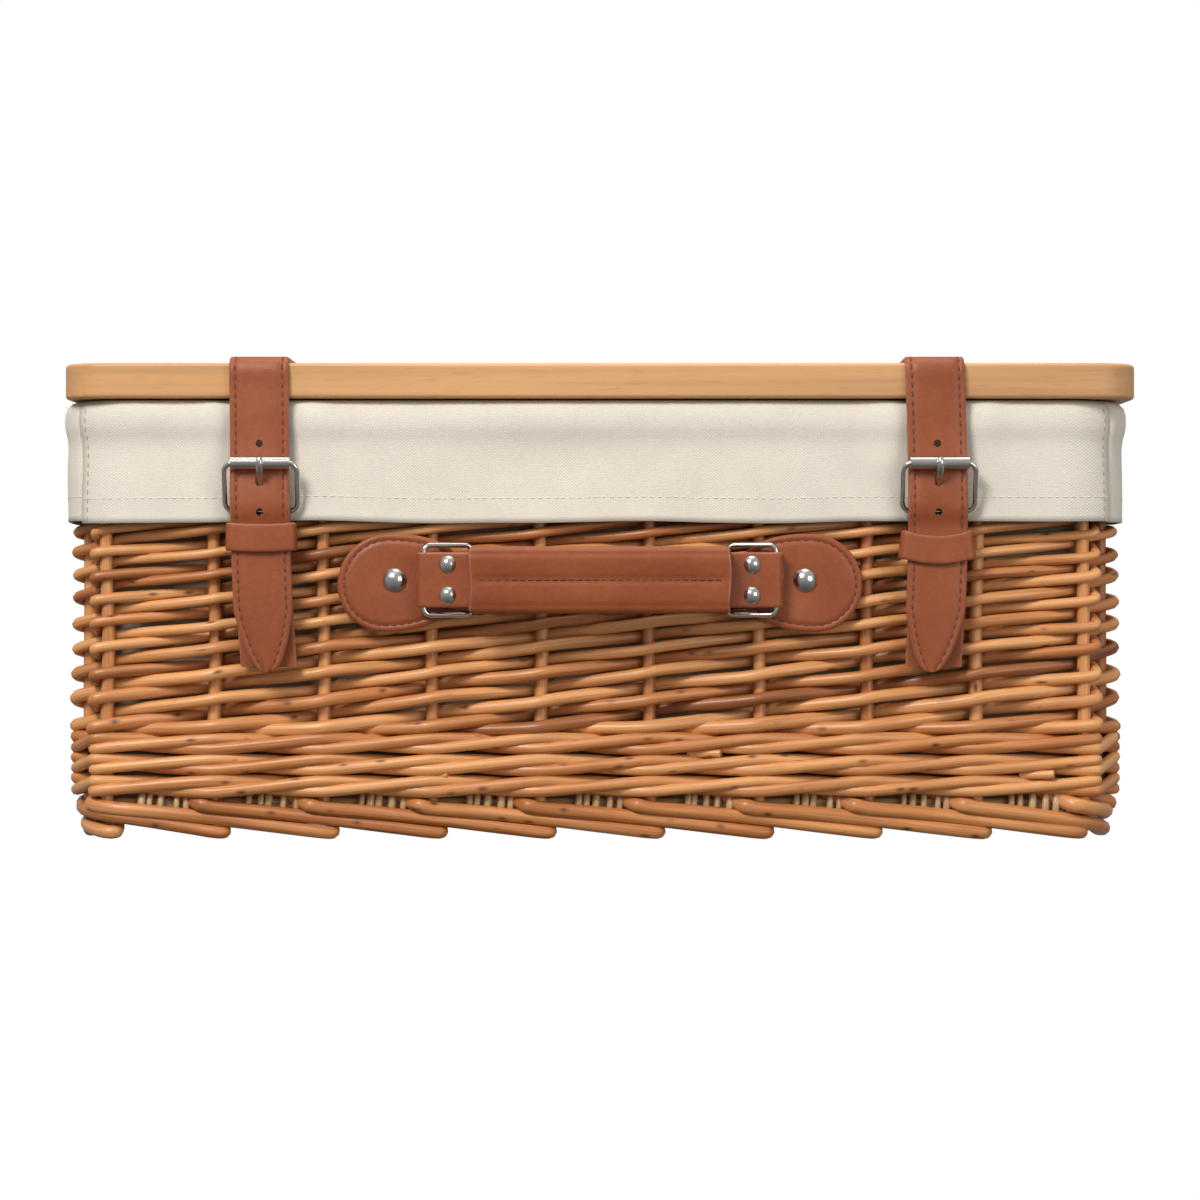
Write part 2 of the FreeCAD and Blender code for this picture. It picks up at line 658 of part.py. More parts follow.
def rivet_nodes():
    """Rivets that hold the leather on the walls, and the washers that spread them inside."""
    washer_out = -INSIDE_FACE - CLOTH_GAP
    washer_in = washer_out - WASHER_THICK
    pad_rivets = []
    tab_rivets = []
    anchor_rivets = []
    washers = []
    for _, side in SIDES:
        pad_x, strap_x = side * PAD_RIVET_X, side * STRAP_X
        pad_rivets.append(wall_rivet(pad_x, PAD_FRONT, -washer_in, HANDLE_Z, PAD_RIVET_HEAD, -1))
        washers.append(washer(pad_x, -washer_out, HANDLE_Z, 1))
        for z in TAB_RIVET_Z:
            tab_rivets.append(wall_rivet(strap_x, TAB_BACK - TAB_THICK, -washer_in, z, TAB_RIVET_HEAD, -1))
            washers.append(washer(strap_x, -washer_out, z, 1))
        for z in ANCHOR_RIVET_Z:
            anchor_head_y = STRAP_THICK - TAB_BACK
            anchor_rivets.append(wall_rivet(strap_x, anchor_head_y, washer_in, z, ANCHOR_RIVET_HEAD, 1))
            washers.append(washer(strap_x, washer_out, z, -1))
    return {
        "handle_pad_rivets": Part.makeCompound(pad_rivets),
        "buckle_tab_rivets": Part.makeCompound(tab_rivets),
        "strap_anchor_rivets": Part.makeCompound(anchor_rivets),
        "rivet_washers": Part.makeCompound(washers),
    }


def washer(x, y, z, inward):
    plate = Part.makeCylinder(WASHER_R, WASHER_THICK, V(x, y, z), Y_AXIS * inward)
    return plate.cut(Part.makeCylinder(RIVET_HOLE_R, WASHER_THICK + 2, V(x, y - inward, z), Y_AXIS * inward))


def strap_nodes():
    nodes = {}
    for name, side in SIDES:
        x = side * STRAP_X
        low_x, high_x = x - STRAP_WIDTH / 2, x + STRAP_WIDTH / 2
        anchor = box(low_x, high_x, -TAB_BACK, -TAB_BACK + STRAP_THICK, ANCHOR_BOTTOM, ANCHOR_TOP)
        nodes[name + "_strap_anchor"] = anchor.cut(back_rivet_holes())
        nodes[name + "_strap_tail"] = tail(side)
        nodes.update(buckle_nodes(name, side))
    nodes["left_keeper"] = keeper(-1, KEEPER_TOP_LEFT)
    nodes["right_keeper"] = keeper(1, KEEPER_TOP_RIGHT)
    return nodes


def main():
    os.makedirs("parts", exist_ok=True)
    nodes = {}
    for group in (wicker_nodes(), liner_nodes(), lid_nodes(), strap_nodes(), handle_nodes(), rivet_nodes()):
        nodes.update(group)
    for name, shape in nodes.items():
        placed = shape.copy()
        placed.translate(V(0, Y_SHIFT, 0))
        placed.exportStep("parts/" + name + ".step")
        state = "ok" if placed.isValid() else "NOT VALID"
        print(f"{name:24s} {len(placed.Solids):3d} solids {placed.Volume:12.1f} mm3 {state}")
    whole = Part.makeCompound(list(nodes.values())).BoundBox
    print("shift along Y", Y_SHIFT)
    print("height", whole.ZMin, whole.ZMax, "width", whole.XMin, whole.XMax, "depth", whole.YMin, whole.YMax)


main()
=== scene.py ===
"""Looks of a wicker hamper: woven willow body, cotton liner, board lid, leather straps and handle.

Everything is in metres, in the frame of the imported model. Most of the object is built round one line:
the rounded rectangle through the upright stakes. A place on the wall is given by how far along that
line it is, how far outside the line it is, and its height.
"""

import json
import math
import random

import bmesh
import bpy
import numpy as np
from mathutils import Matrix, Vector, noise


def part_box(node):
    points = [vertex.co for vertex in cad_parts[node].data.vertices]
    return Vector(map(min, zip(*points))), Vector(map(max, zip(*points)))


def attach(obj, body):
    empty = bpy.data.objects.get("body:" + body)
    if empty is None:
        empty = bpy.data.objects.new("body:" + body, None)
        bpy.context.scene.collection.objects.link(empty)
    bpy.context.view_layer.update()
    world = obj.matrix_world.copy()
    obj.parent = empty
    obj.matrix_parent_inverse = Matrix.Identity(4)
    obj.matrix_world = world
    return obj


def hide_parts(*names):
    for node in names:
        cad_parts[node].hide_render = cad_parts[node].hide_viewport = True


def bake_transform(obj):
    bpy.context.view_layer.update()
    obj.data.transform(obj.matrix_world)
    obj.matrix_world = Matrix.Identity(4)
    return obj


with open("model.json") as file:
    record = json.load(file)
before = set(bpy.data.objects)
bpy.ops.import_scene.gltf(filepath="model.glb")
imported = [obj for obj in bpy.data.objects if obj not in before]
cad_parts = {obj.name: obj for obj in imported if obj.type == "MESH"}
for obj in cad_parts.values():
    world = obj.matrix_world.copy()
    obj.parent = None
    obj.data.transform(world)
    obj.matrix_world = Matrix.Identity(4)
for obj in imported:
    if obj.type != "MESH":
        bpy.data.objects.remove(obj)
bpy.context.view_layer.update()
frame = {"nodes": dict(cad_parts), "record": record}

MM = 0.001
UP = np.array((0.0, 0.0, 1.0))

# ---------------------------------------------------------------- places read from the frame

weave_low, weave_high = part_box("side_weave")
stake_low, stake_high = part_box("front_stakes")
side_low, side_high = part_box("right_stakes")
wale_low, wale_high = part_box("lower_wale")
upper_low, upper_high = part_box("upper_wale")
border_low, border_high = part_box("top_border")
foot_low, foot_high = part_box("foot_border")
base_low, base_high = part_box("base_weave")
lid_low, lid_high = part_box("lid_board")

STAKE_R = (side_high.x - side_low.x) / 2
CENTRE_Y = (weave_low.y + weave_high.y) / 2
WIDER = 2.0 * MM
CENTRE_X = -2.0 * MM
HALF_X = (side_high.x + side_low.x) / 2 + WIDER
HALF_Y = CENTRE_Y - stake_low.y - STAKE_R
CORNER_R = 20 * MM
FRONT_STAKES = 10
SIDE_STAKES = 6
FRONT_PITCH = (stake_high.x - stake_low.x - 2 * STAKE_R + 2 * WIDER) / (FRONT_STAKES - 1)
SIDE_PITCH = (side_high.y - side_low.y - 2 * STAKE_R) / (SIDE_STAKES - 1)
STAKES = 2 * (FRONT_STAKES + SIDE_STAKES)

STRAIGHT_X = 2 * (HALF_X - CORNER_R)
STRAIGHT_Y = 2 * (HALF_Y - CORNER_R)
ARC = CORNER_R * math.pi / 2
ROUND = 2 * (STRAIGHT_X + STRAIGHT_Y) + 4 * ARC


def stake_positions():
    """Distance along the wall line of each stake, from the front left one, and the same again past it."""
    spots = []
    for index in range(FRONT_STAKES):
        x = (index - (FRONT_STAKES - 1) / 2) * FRONT_PITCH
        past = abs(x) - STRAIGHT_X / 2
        reach = x if past <= 0 else math.copysign(
            STRAIGHT_X / 2 + CORNER_R * math.asin(past / CORNER_R), x)
        spots.append(reach + STRAIGHT_X / 2)
    middle = STRAIGHT_X + ARC + STRAIGHT_Y / 2
    for index in range(SIDE_STAKES):
        spots.append(middle + (index - (SIDE_STAKES - 1) / 2) * SIDE_PITCH)
    return np.array(spots + [spot + ROUND / 2 for spot in spots])


SPOTS = stake_positions()


def along(count):
    """Distance along the wall line for a position counted in stakes; whole turns are allowed."""
    count = np.asarray(count, float)
    turns = np.floor(count / STAKES)
    rest = count - turns * STAKES
    return turns * ROUND + np.interp(rest, np.arange(STAKES + 1), np.append(SPOTS, SPOTS[0] + ROUND))


def wall(distance, outside, height):
    """Points at a distance along the wall line, an offset outside it, and a height."""
    distance, outside, height = np.broadcast_arrays(
        np.asarray(distance, float), np.asarray(outside, float), np.asarray(height, float))
    place = np.mod(distance, ROUND)
    x = np.zeros_like(place)
    y = np.zeros_like(place)
    nx = np.zeros_like(place)
    ny = np.zeros_like(place)
    start = 0.0
    heading = 0.0
    corner = np.array((-STRAIGHT_X / 2, -HALF_Y))
    for straight in (STRAIGHT_X, STRAIGHT_Y, STRAIGHT_X, STRAIGHT_Y):
        ahead = np.array((math.cos(heading), math.sin(heading)))
        out = np.array((ahead[1], -ahead[0]))
        on = (place >= start) & (place <= start + straight)
        run = place - start
        x[on] = (corner[0] + ahead[0] * run)[on]
        y[on] = (corner[1] + ahead[1] * run)[on]
        nx[on], ny[on] = out
        start += straight
        pivot = corner + ahead * straight - out * CORNER_R
        on = (place > start) & (place < start + ARC)
        turn = (place - start) / CORNER_R
        face_x = out[0] * np.cos(turn) - out[1] * np.sin(turn)
        face_y = out[0] * np.sin(turn) + out[1] * np.cos(turn)
        x[on] = (pivot[0] + CORNER_R * face_x)[on]
        y[on] = (pivot[1] + CORNER_R * face_y)[on]
        nx[on] = face_x[on]
        ny[on] = face_y[on]
        start += ARC
        heading += math.pi / 2
        corner = pivot + ahead * CORNER_R
    return np.stack((x + nx * outside + CENTRE_X, y + ny * outside + CENTRE_Y, height), axis=-1)


# ---------------------------------------------------------------- mesh building


SHARP = math.radians(65)


def mark_sharp(shell):
    """Keeps cut ends and punched rims crisp where the rest is shaded smooth."""
    for edge in shell.edges:
        edge.smooth = len(edge.link_faces) != 2 or edge.calc_face_angle() < SHARP


class Mesh:
    """Collects grids of points into one mesh, with a grain coordinate and a tone for its material."""

    def __init__(self):
        self.points = []
        self.faces = []
        self.grain = []
        self.tone = []
        self.slots = []
        self.count = 0

    def grid(self, points, grain=None, tone=0.5, wrap=False, caps=False, slot=0, loop=False):
        """A sheet of quads from rows of points.

        Wrap joins the last column to the first, and loop the last row to the first. Slot is a material
        for the whole sheet or one for each column.
        """
        rows, columns = points.shape[:2]
        flat = points.reshape(-1, 3)
        base = self.count
        self.points.append(flat)
        self.grain.append(flat if grain is None else grain.reshape(-1, 3))
        self.tone.append(np.full(len(flat), tone))
        self.count += len(flat)
        last = columns if wrap else columns - 1
        bands = rows if loop else rows - 1
        row, column = np.meshgrid(np.arange(bands), np.arange(last), indexing="ij")
        after = (column + 1) % columns
        below = (row + 1) % rows
        quads = np.stack((
            base + row * columns + column,
            base + row * columns + after,
            base + below * columns + after,
            base + below * columns + column,
        ), axis=-1).reshape(-1, 4)
        self.faces += quads.tolist()
        self.slots += np.broadcast_to(slot, (bands, last)).reshape(-1).tolist()
        if caps:
            self.faces.append([base + c for c in reversed(range(columns))])
            self.faces.append([base + (rows - 1) * columns + c for c in range(columns)])
            self.slots += [int(np.min(slot))] * 2

    def build(self, name, *materials):
        mesh = bpy.data.meshes.new(name)
        points = np.concatenate(self.points)
        mesh.from_pydata(points.tolist(), [], self.faces)
        grain = mesh.attributes.new("grain", "FLOAT_VECTOR", "POINT")
        grain.data.foreach_set("vector", np.concatenate(self.grain).astype(np.float32).ravel())
        tone = mesh.attributes.new("tone", "FLOAT", "POINT")
        tone.data.foreach_set("value", np.concatenate(self.tone).astype(np.float32))
        for material in materials:
            mesh.materials.append(material)
        mesh.polygons.foreach_set("material_index", self.slots)
        mesh.polygons.foreach_set("use_smooth", [True] * len(self.faces))
        mesh.update()
        shell = bmesh.new()
        shell.from_mesh(mesh)
        bmesh.ops.recalc_face_normals(shell, faces=shell.faces)
        mark_sharp(shell)
        shell.to_mesh(mesh)
        shell.free()
        piece = bpy.data.objects.new(name, mesh)
        bpy.context.scene.collection.objects.link(piece)
        return piece


def carried_frames(path):
    """Two directions across a path at each of its points, carried along it without twist."""
    steps = np.gradient(path, axis=0)
    tangents = steps / np.maximum(np.linalg.norm(steps, axis=1, keepdims=True), 1e-9)
    start = UP if abs(tangents[0] @ UP) < 0.9 else np.array((1.0, 0.0, 0.0))
    side = start - tangents[0] * (start @ tangents[0])
    side /= np.linalg.norm(side)
    sides = [side]
    for tangent in tangents[1:]:
        side = side - tangent * (side @ tangent)
        side = side / np.linalg.norm(side)
        sides.append(side)
    sides = np.array(sides)
    return sides, np.cross(tangents, sides)


def tube(mesh, path, radius, sides=8, tone=0.5, seed=0.0, slot=0, round_ends=True, closed=False):
    """A round rod along a path, with rounded ends unless it closes on itself. Its grain runs along it."""
    path = np.asarray(path, float)
    radius = np.broadcast_to(np.asarray(radius, float), len(path)).copy()
    if round_ends and not closed:
        lead = (path[0] - path[1]) / np.linalg.norm(path[0] - path[1])
        trail = (path[-1] - path[-2]) / np.linalg.norm(path[-1] - path[-2])
        path = np.vstack((path[0] + lead * radius[0] * 0.35, path, path[-1] + trail * radius[-1] * 0.35))
        radius = np.concatenate(([radius[0] * 0.72], radius, [radius[-1] * 0.72]))
    across, over = carried_frames(path)
    run = np.concatenate(([0], np.cumsum(np.linalg.norm(np.diff(path, axis=0), axis=1))))
    angle = np.linspace(0, 2 * math.pi, sides, endpoint=False)
    ring = (across[:, None] * np.cos(angle)[None, :, None] + over[:, None] * np.sin(angle)[None, :, None])
    points = path[:, None] + ring * radius[:, None, None]
    grain = np.stack(np.broadcast_arrays(
        np.cos(angle)[None, :] + seed * 7.3,
        np.sin(angle)[None, :] + seed * 3.1,
        run[:, None] * 25 + seed * 11.7,
    ), axis=-1)
    mesh.grid(points, grain, tone, wrap=True, caps=not closed, slot=slot, loop=closed)


def smooth(value):
    value = np.clip(value, 0, 1)
    return value * value * (3 - 2 * value)


def curve_through(points, samples):
    """A smooth line through a few given points, with even steps along it."""
    points = np.asarray(points, float)
    padded = np.vstack((2 * points[0] - points[1], points, 2 * points[-1] - points[-2]))
    line = []
    for index in range(len(points) - 1):
        a, b, c, d = padded[index:index + 4]
        t = np.linspace(0, 1, samples, endpoint=False)[:, None]
        line.append(0.5 * (2 * b + (c - a) * t + (2 * a - 5 * b + 4 * c - d) * t ** 2
                           + (3 * b - a - 3 * c + d) * t ** 3))
    return np.vstack(line + [points[-1:]])


# ---------------------------------------------------------------- materials


def material(name):
    made = bpy.data.materials.new(name)
    made.use_nodes = True
    tree = made.node_tree
    return made, tree, tree.nodes["Principled BSDF"]


def node(tree, kind, inputs=(), **settings):
    made = tree.nodes.new(kind)
    for key, value in settings.items():
        setattr(made, key, value)
    for key, value in dict(inputs).items():
        if isinstance(value, bpy.types.NodeSocket):
            tree.links.new(value, made.inputs[key])
        else:
            made.inputs[key].default_value = value
    return made


def ramp(tree, factor, stops):
    """Colour ramp with stops of (position, grey or colour)."""
    made = tree.nodes.new("ShaderNodeValToRGB")
    tree.links.new(factor, made.inputs["Fac"])
    elements = made.color_ramp.elements
    while len(elements) < len(stops):
        elements.new(0.5)
    for element, (position, value) in zip(elements, stops):
        element.position = position
        element.color = (*value, 1) if hasattr(value, "__len__") else (value, value, value, 1)
    return made.outputs["Color"]


def mix(tree, factor, a, b, blend="MIX"):
    made = node(tree, "ShaderNodeMix", data_type="RGBA", blend_type=blend)
    for socket, value in ((made.inputs["Factor"], factor), (made.inputs["A"], a), (made.inputs["B"], b)):
        if isinstance(value, bpy.types.NodeSocket):
            tree.links.new(value, socket)
        elif hasattr(value, "__len__"):
            socket.default_value = (*value, 1)
        else:
            socket.default_value = value
    return made.outputs["Result"]


def scaled(tree, vector, scale):
    return node(tree, "ShaderNodeVectorMath", {0: vector, 1: scale}, operation="MULTIPLY").outputs["Vector"]


def noise_of(tree, vector, scale, detail=2.0, rough=0.5):
    return node(tree, "ShaderNodeTexNoise",
                {"Vector": vector, "Scale": scale, "Detail": detail, "Roughness": rough}).outputs["Fac"]


def bump(tree, shader, height, strength, distance):
    made = node(tree, "ShaderNodeBump", {"Height": height, "Strength": strength, "Distance": distance})
    tree.links.new(made.outputs["Normal"], shader.inputs["Normal"])


def willow(name, light, dark, red, knots=0.86):
    """Steamed willow: lengthwise streaks, tone changing along each rod, red-edged dark buds, bark scars."""
    made, tree, shader = material(name)
    grain = node(tree, "ShaderNodeAttribute", attribute_name="grain").outputs["Vector"]
    tone = node(tree, "ShaderNodeAttribute", attribute_name="tone").outputs["Fac"]
    streak = noise_of(tree, scaled(tree, grain, (1.9, 1.9, 0.30)), 2.4, 5.0, 0.66)
    patch = noise_of(tree, scaled(tree, grain, (0.5, 0.5, 0.7)), 1.0, 3.0, 0.6)
    mixed = node(tree, "ShaderNodeMath", {0: tone, 1: patch}, operation="ADD").outputs[0]
    level = node(tree, "ShaderNodeMath", {0: mixed, 1: 0.5}, operation="MULTIPLY").outputs[0]
    body = ramp(tree, level, ((0.25, dark), (0.44, red), (0.66, light)))
    fine = ramp(tree, streak, ((0.28, 0.50), (0.50, 0.96), (0.78, 1.22)))
    colour = mix(tree, 0.75, body, fine, "MULTIPLY")
    cells = node(tree, "ShaderNodeTexVoronoi",
                 {"Vector": scaled(tree, grain, (1.0, 1.0, 6.5)), "Scale": 0.75, "Randomness": 1.0})
    chosen = node(tree, "ShaderNodeSeparateColor", {0: cells.outputs["Color"]}).outputs[0]
    kept = node(tree, "ShaderNodeMath", {0: chosen, 1: knots}, operation="GREATER_THAN").outputs[0]
    for inner, outer, stain in ((0.16, 0.38, (0.280, 0.085, 0.024)), (0.08, 0.16, (0.085, 0.028, 0.010))):
        spot = ramp(tree, cells.outputs["Distance"], ((inner, 0.95), (outer, 0.0)))
        mark = node(tree, "ShaderNodeMath", {0: spot, 1: kept}, operation="MULTIPLY").outputs[0]
        colour = mix(tree, mark, colour, stain)
    bark = noise_of(tree, scaled(tree, grain, (0.55, 0.55, 0.9)), 1.3, 4.0, 0.7)
    colour = mix(tree, ramp(tree, bark, ((0.70, 0.0), (0.74, 0.85))), colour, (0.070, 0.030, 0.018))
    tree.links.new(colour, shader.inputs["Base Color"])
    rough = ramp(tree, streak, ((0.3, 0.48), (0.7, 0.34)))
    tree.links.new(rough, shader.inputs["Roughness"])
    shader.inputs["Coat Weight"].default_value = 0.24
    shader.inputs["Coat Roughness"].default_value = 0.24
    bump(tree, shader, streak, 0.30, 0.0005)
    return made


WILLOW = willow("willow_rods", (0.76, 0.345, 0.118), (0.215, 0.060, 0.014), (0.50, 0.170, 0.043))
PALE_WILLOW = willow("pale_willow_rods", (0.60, 0.38, 0.19), (0.32, 0.18, 0.08), (0.48, 0.28, 0.12), 0.97)


def canvas(name, shaded, lit):
    """Unbleached cotton canvas: crossed threads in staggered rows, slubs and a faint mottle."""
    made, tree, shader = material(name)
    grain = node(tree, "ShaderNodeAttribute", attribute_name="grain").outputs["Vector"]
    warped = node(tree, "ShaderNodeTexNoise", {"Vector": grain, "Scale": 180.0, "Detail": 2.0}).outputs["Color"]
    shifted = node(tree, "ShaderNodeVectorMath", {0: warped, 1: (0.0006, 0.0006, 0.0006)}, operation="MULTIPLY")
    coords = node(tree, "ShaderNodeVectorMath", {0: grain, 1: shifted.outputs["Vector"]}, operation="ADD")
    threads = []
    for way in (1.0, -1.0):
        wave = node(tree, "ShaderNodeTexWave",
                    {"Vector": scaled(tree, coords.outputs["Vector"], (way, 1.0, 1.0)), "Scale": 470.0,
                     "Distortion": 1.6, "Detail": 1.5},
                    wave_type="BANDS", bands_direction="DIAGONAL")
        threads.append(wave.outputs["Fac"])
    woven = node(tree, "ShaderNodeMath", {0: threads[0], 1: threads[1]}, operation="MULTIPLY").outputs[0]
    slubs = noise_of(tree, scaled(tree, grain, (420.0, 1100.0, 1.0)), 1.0, 2.0, 0.5)
    mottle = noise_of(tree, grain, 45.0, 3.0, 0.6)
    base = mix(tree, woven, shaded, lit)
    colour = mix(tree, 0.50, base, ramp(tree, slubs, ((0.30, 0.90), (0.65, 1.03))), "MULTIPLY")
    colour = mix(tree, 0.30, colour, ramp(tree, mottle, ((0.35, 0.90), (0.65, 1.06))), "MULTIPLY")
    tree.links.new(colour, shader.inputs["Base Color"])
    shader.inputs["Roughness"].default_value = 0.92
    shader.inputs["Sheen Weight"].default_value = 0.10
    shader.inputs["Sheen Roughness"].default_value = 0.5
    bump(tree, shader, woven, 0.30, 0.0004)
    return made


def leather(name, base, deep):
    """Smooth coated leather: fine pebble, soft variation and a low sheen."""
    made, tree, shader = material(name)
    place = node(tree, "ShaderNodeTexCoord").outputs["Object"]
    pebble = node(tree, "ShaderNodeTexVoronoi", {"Vector": place, "Scale": 1500.0, "Randomness": 1.0}).outputs["Distance"]
    crease = noise_of(tree, place, 420.0, 4.0, 0.6)
    cloud = noise_of(tree, place, 38.0, 3.0, 0.55)
    colour = mix(tree, ramp(tree, cloud, ((0.30, 0.0), (0.70, 1.0))), deep, base)
    colour = mix(tree, 0.35, colour, ramp(tree, crease, ((0.30, 0.78), (0.65, 1.08))), "MULTIPLY")
    tree.links.new(colour, shader.inputs["Base Color"])
    rough = ramp(tree, crease, ((0.3, 0.40), (0.7, 0.52)))
    tree.links.new(rough, shader.inputs["Roughness"])
    shader.inputs["Specular IOR Level"].default_value = 0.38
    both = node(tree, "ShaderNodeMath", {0: pebble, 1: crease}, operation="ADD").outputs[0]
    bump(tree, shader, both, 0.22, 0.00025)
    return made


def thread(name, colour):
    """Waxed thread, darker in its twist."""
    made, tree, shader = material(name)
    place = node(tree, "ShaderNodeTexCoord").outputs["Object"]
    twist = noise_of(tree, place, 2500.0, 2.0, 0.5)
    tree.links.new(mix(tree, twist, tuple(c * 0.6 for c in colour), colour), shader.inputs["Base Color"])
    shader.inputs["Roughness"].default_value = 0.75
    return made


def board():
    """Oiled pale board with straight grain along X, darker end grain and a few flecks."""
    made, tree, shader = material("oiled_board")
    place = node(tree, "ShaderNodeTexCoord").outputs["Object"]
    long_grain = noise_of(tree, scaled(tree, place, (3.5, 60.0, 170.0)), 1.0, 5.0, 0.62)
    bands = noise_of(tree, scaled(tree, place, (2.0, 11.0, 22.0)), 1.0, 2.0, 0.5)
    flecks = noise_of(tree, scaled(tree, place, (90.0, 700.0, 900.0)), 1.0, 1.0, 0.5)
    body = mix(tree, ramp(tree, bands, ((0.32, 0.0), (0.68, 1.0))), (0.540, 0.262, 0.098), (0.690, 0.372, 0.160))
    colour = mix(tree, 0.60, body, ramp(tree, long_grain, ((0.34, 0.70), (0.60, 1.10))), "MULTIPLY")
    colour = mix(tree, 0.30, colour, ramp(tree, flecks, ((0.26, 0.62), (0.40, 1.0))), "MULTIPLY")
    facing = node(tree, "ShaderNodeSeparateXYZ", {0: node(tree, "ShaderNodeNewGeometry").outputs["Normal"]})
    side = node(tree, "ShaderNodeMath", {0: facing.outputs["X"]}, operation="ABSOLUTE").outputs[0]
    ends = noise_of(tree, scaled(tree, place, (5.0, 160.0, 420.0)), 1.0, 4.0, 0.6)
    end_colour = mix(tree, ends, (0.50, 0.235, 0.095), (0.72, 0.405, 0.195))
    colour = mix(tree, ramp(tree, side, ((0.55, 0.0), (0.90, 0.75))), colour, end_colour)
    tree.links.new(colour, shader.inputs["Base Color"])
    tree.links.new(ramp(tree, long_grain, ((0.3, 0.52), (0.7, 0.42))), shader.inputs["Roughness"])
    bump(tree, shader, long_grain, 0.18, 0.0004)
    return made


def nickel():
    """Nickel plate with faint brushing."""
    made, tree, shader = material("nickel_plate")
    place = node(tree, "ShaderNodeTexCoord").outputs["Object"]
    smear = noise_of(tree, scaled(tree, place, (900.0, 260.0, 260.0)), 1.0, 3.0, 0.6)
    tree.links.new(mix(tree, smear, (0.56, 0.545, 0.51), (0.64, 0.625, 0.59)), shader.inputs["Base Color"])
    tree.links.new(ramp(tree, smear, ((0.3, 0.15), (0.7, 0.22))), shader.inputs["Roughness"])
    shader.inputs["Metallic"].default_value = 1.0
    bump(tree, shader, smear, 0.02, 0.0001)
    return made


CANVAS = canvas("cotton_canvas", (0.715, 0.650, 0.545), (0.860, 0.797, 0.680))
# A much darker copy of the canvas for the liner's faces towards the weave: painted shade on the cloth seen through the
# gaps.
CANVAS_PAINTED_SHADE = canvas("canvas_painted_shade", (0.200, 0.175, 0.125), (0.260, 0.230, 0.170))
LEATHER = leather("brown_leather", (0.328, 0.084, 0.027), (0.262, 0.062, 0.018))
LEATHER_EDGE = leather("leather_edge", (0.400, 0.150, 0.085), (0.300, 0.095, 0.048))
BROWN_THREAD = thread("brown_thread", (0.200, 0.053, 0.022))
CREAM_THREAD = thread("cream_thread", (0.92, 0.85, 0.72))
TAN_THREAD = thread("tan_thread", (0.62, 0.43, 0.24))
BOARD = board()
NICKEL = nickel()


# ---------------------------------------------------------------- the woven body

random.seed(11)
ROD_SAMPLES = 10


def wander(count, seed, pace=0.9):
    """Slow drift between -1 and 1 along a rod."""
    return np.array([noise.noise(Vector((value * pace, seed * 13.7, 4.2))) for value in np.asarray(count)]) * 1.6


CORNER_STAKES = {0: 1, 9: -1, 10: 1, 15: -1, 16: 1, 25: -1, 26: 1, 31: -1}
CORNER_LEAN = 9 * MM
CORNER_REACH = 1.15
CORNER_PULL = 1.8 * MM
BAY_PULL = 0.45


def woven_path(first, outside, heights, start=0.0, stop=None):
    """Path of a rod past stakes from the first on, with its offset and height at each one.

    The rod bows from stake to stake, and kinks round the pair of stakes at each corner.
    """
    count = first + np.arange(len(heights))
    centres = wall(along(count), 0, 0)[:, :2]
    lean = np.array([CORNER_STAKES.get(int(value) % STAKES, 0) for value in count])
    shift = np.where(outside > 0, -lean * CORNER_LEAN, 0)
    out = (wall(along(count) + shift, 1, 0) - wall(along(count) + shift, 0, 0))[:, :2]
    reach = np.where((lean != 0) & (outside > 0), CORNER_REACH, 1.0)
    knots = centres + out * (outside * reach)[:, None]
    ahead = np.stack((-out[:, 1], out[:, 0]), axis=-1)
    stop = len(heights) - 1 if stop is None else stop
    place = np.arange(start, stop + 1e-9, 1 / ROD_SAMPLES)
    whole = np.clip(np.floor(place + 1e-9).astype(int), 0, len(heights) - 2)
    part = (place - whole)[:, None]
    bay = np.linalg.norm(knots[whole + 1] - knots[whole], axis=1)[:, None]
    pull_a = np.where(lean[whole] != 0, CORNER_PULL, bay[:, 0] * BAY_PULL)[:, None]
    pull_b = np.where(lean[whole + 1] != 0, CORNER_PULL, bay[:, 0] * BAY_PULL)[:, None]
    plan = (knots[whole] * (2 * part ** 3 - 3 * part ** 2 + 1)
            + ahead[whole] * pull_a * (part ** 3 - 2 * part ** 2 + part)
            + knots[whole + 1] * (3 * part ** 2 - 2 * part ** 3)
            + ahead[whole + 1] * pull_b * (part ** 3 - part ** 2))
    slopes = np.gradient(heights)[:, None]
    rise = (heights[whole, None] * (2 * part ** 3 - 3 * part ** 2 + 1)
            + slopes[whole] * (part ** 3 - 2 * part ** 2 + part)
            + heights[whole + 1, None] * (3 * part ** 2 - 2 * part ** 3)
            + slopes[whole + 1] * (part ** 3 - part ** 2))
    return np.hstack((plan, rise)), place


def stakes():
    """Upright stakes, a little crooked, and thinner towards the top."""
    mesh = Mesh()
    heights = np.linspace(base_low.z + 3 * MM, border_high.z - 6 * MM, 30)
    for index in range(STAKES):
        lean = wander(heights * 20, index) * 0.9 * MM
        path = wall(along(index) + lean, wander(heights * 25, index + 50) * 0.15 * MM, heights)
        thick = STAKE_R * (1.04 - 0.10 * (heights - heights[0]) / (heights[-1] - heights[0]))
        tube(mesh, path, thick * random.uniform(0.94, 1.06), 10, random.uniform(0.35, 0.85), index * 1.37)
    return mesh.build("willow_stakes", WILLOW)


RAND_LEVELS = 24
RAND_START = wale_high.z + 2.7 * MM
RAND_STEP_LOW = 5.75 * MM
RAND_STEP_HIGH = 4.20 * MM


def rand_level(level):
    """Height of a level of the randed weave: rods lie closer together as they thin out."""
    level = np.asarray(level, float)
    drop = (RAND_STEP_LOW - RAND_STEP_HIGH) / (2 * RAND_LEVELS)
    return RAND_START + RAND_STEP_LOW * level - drop * level ** 2


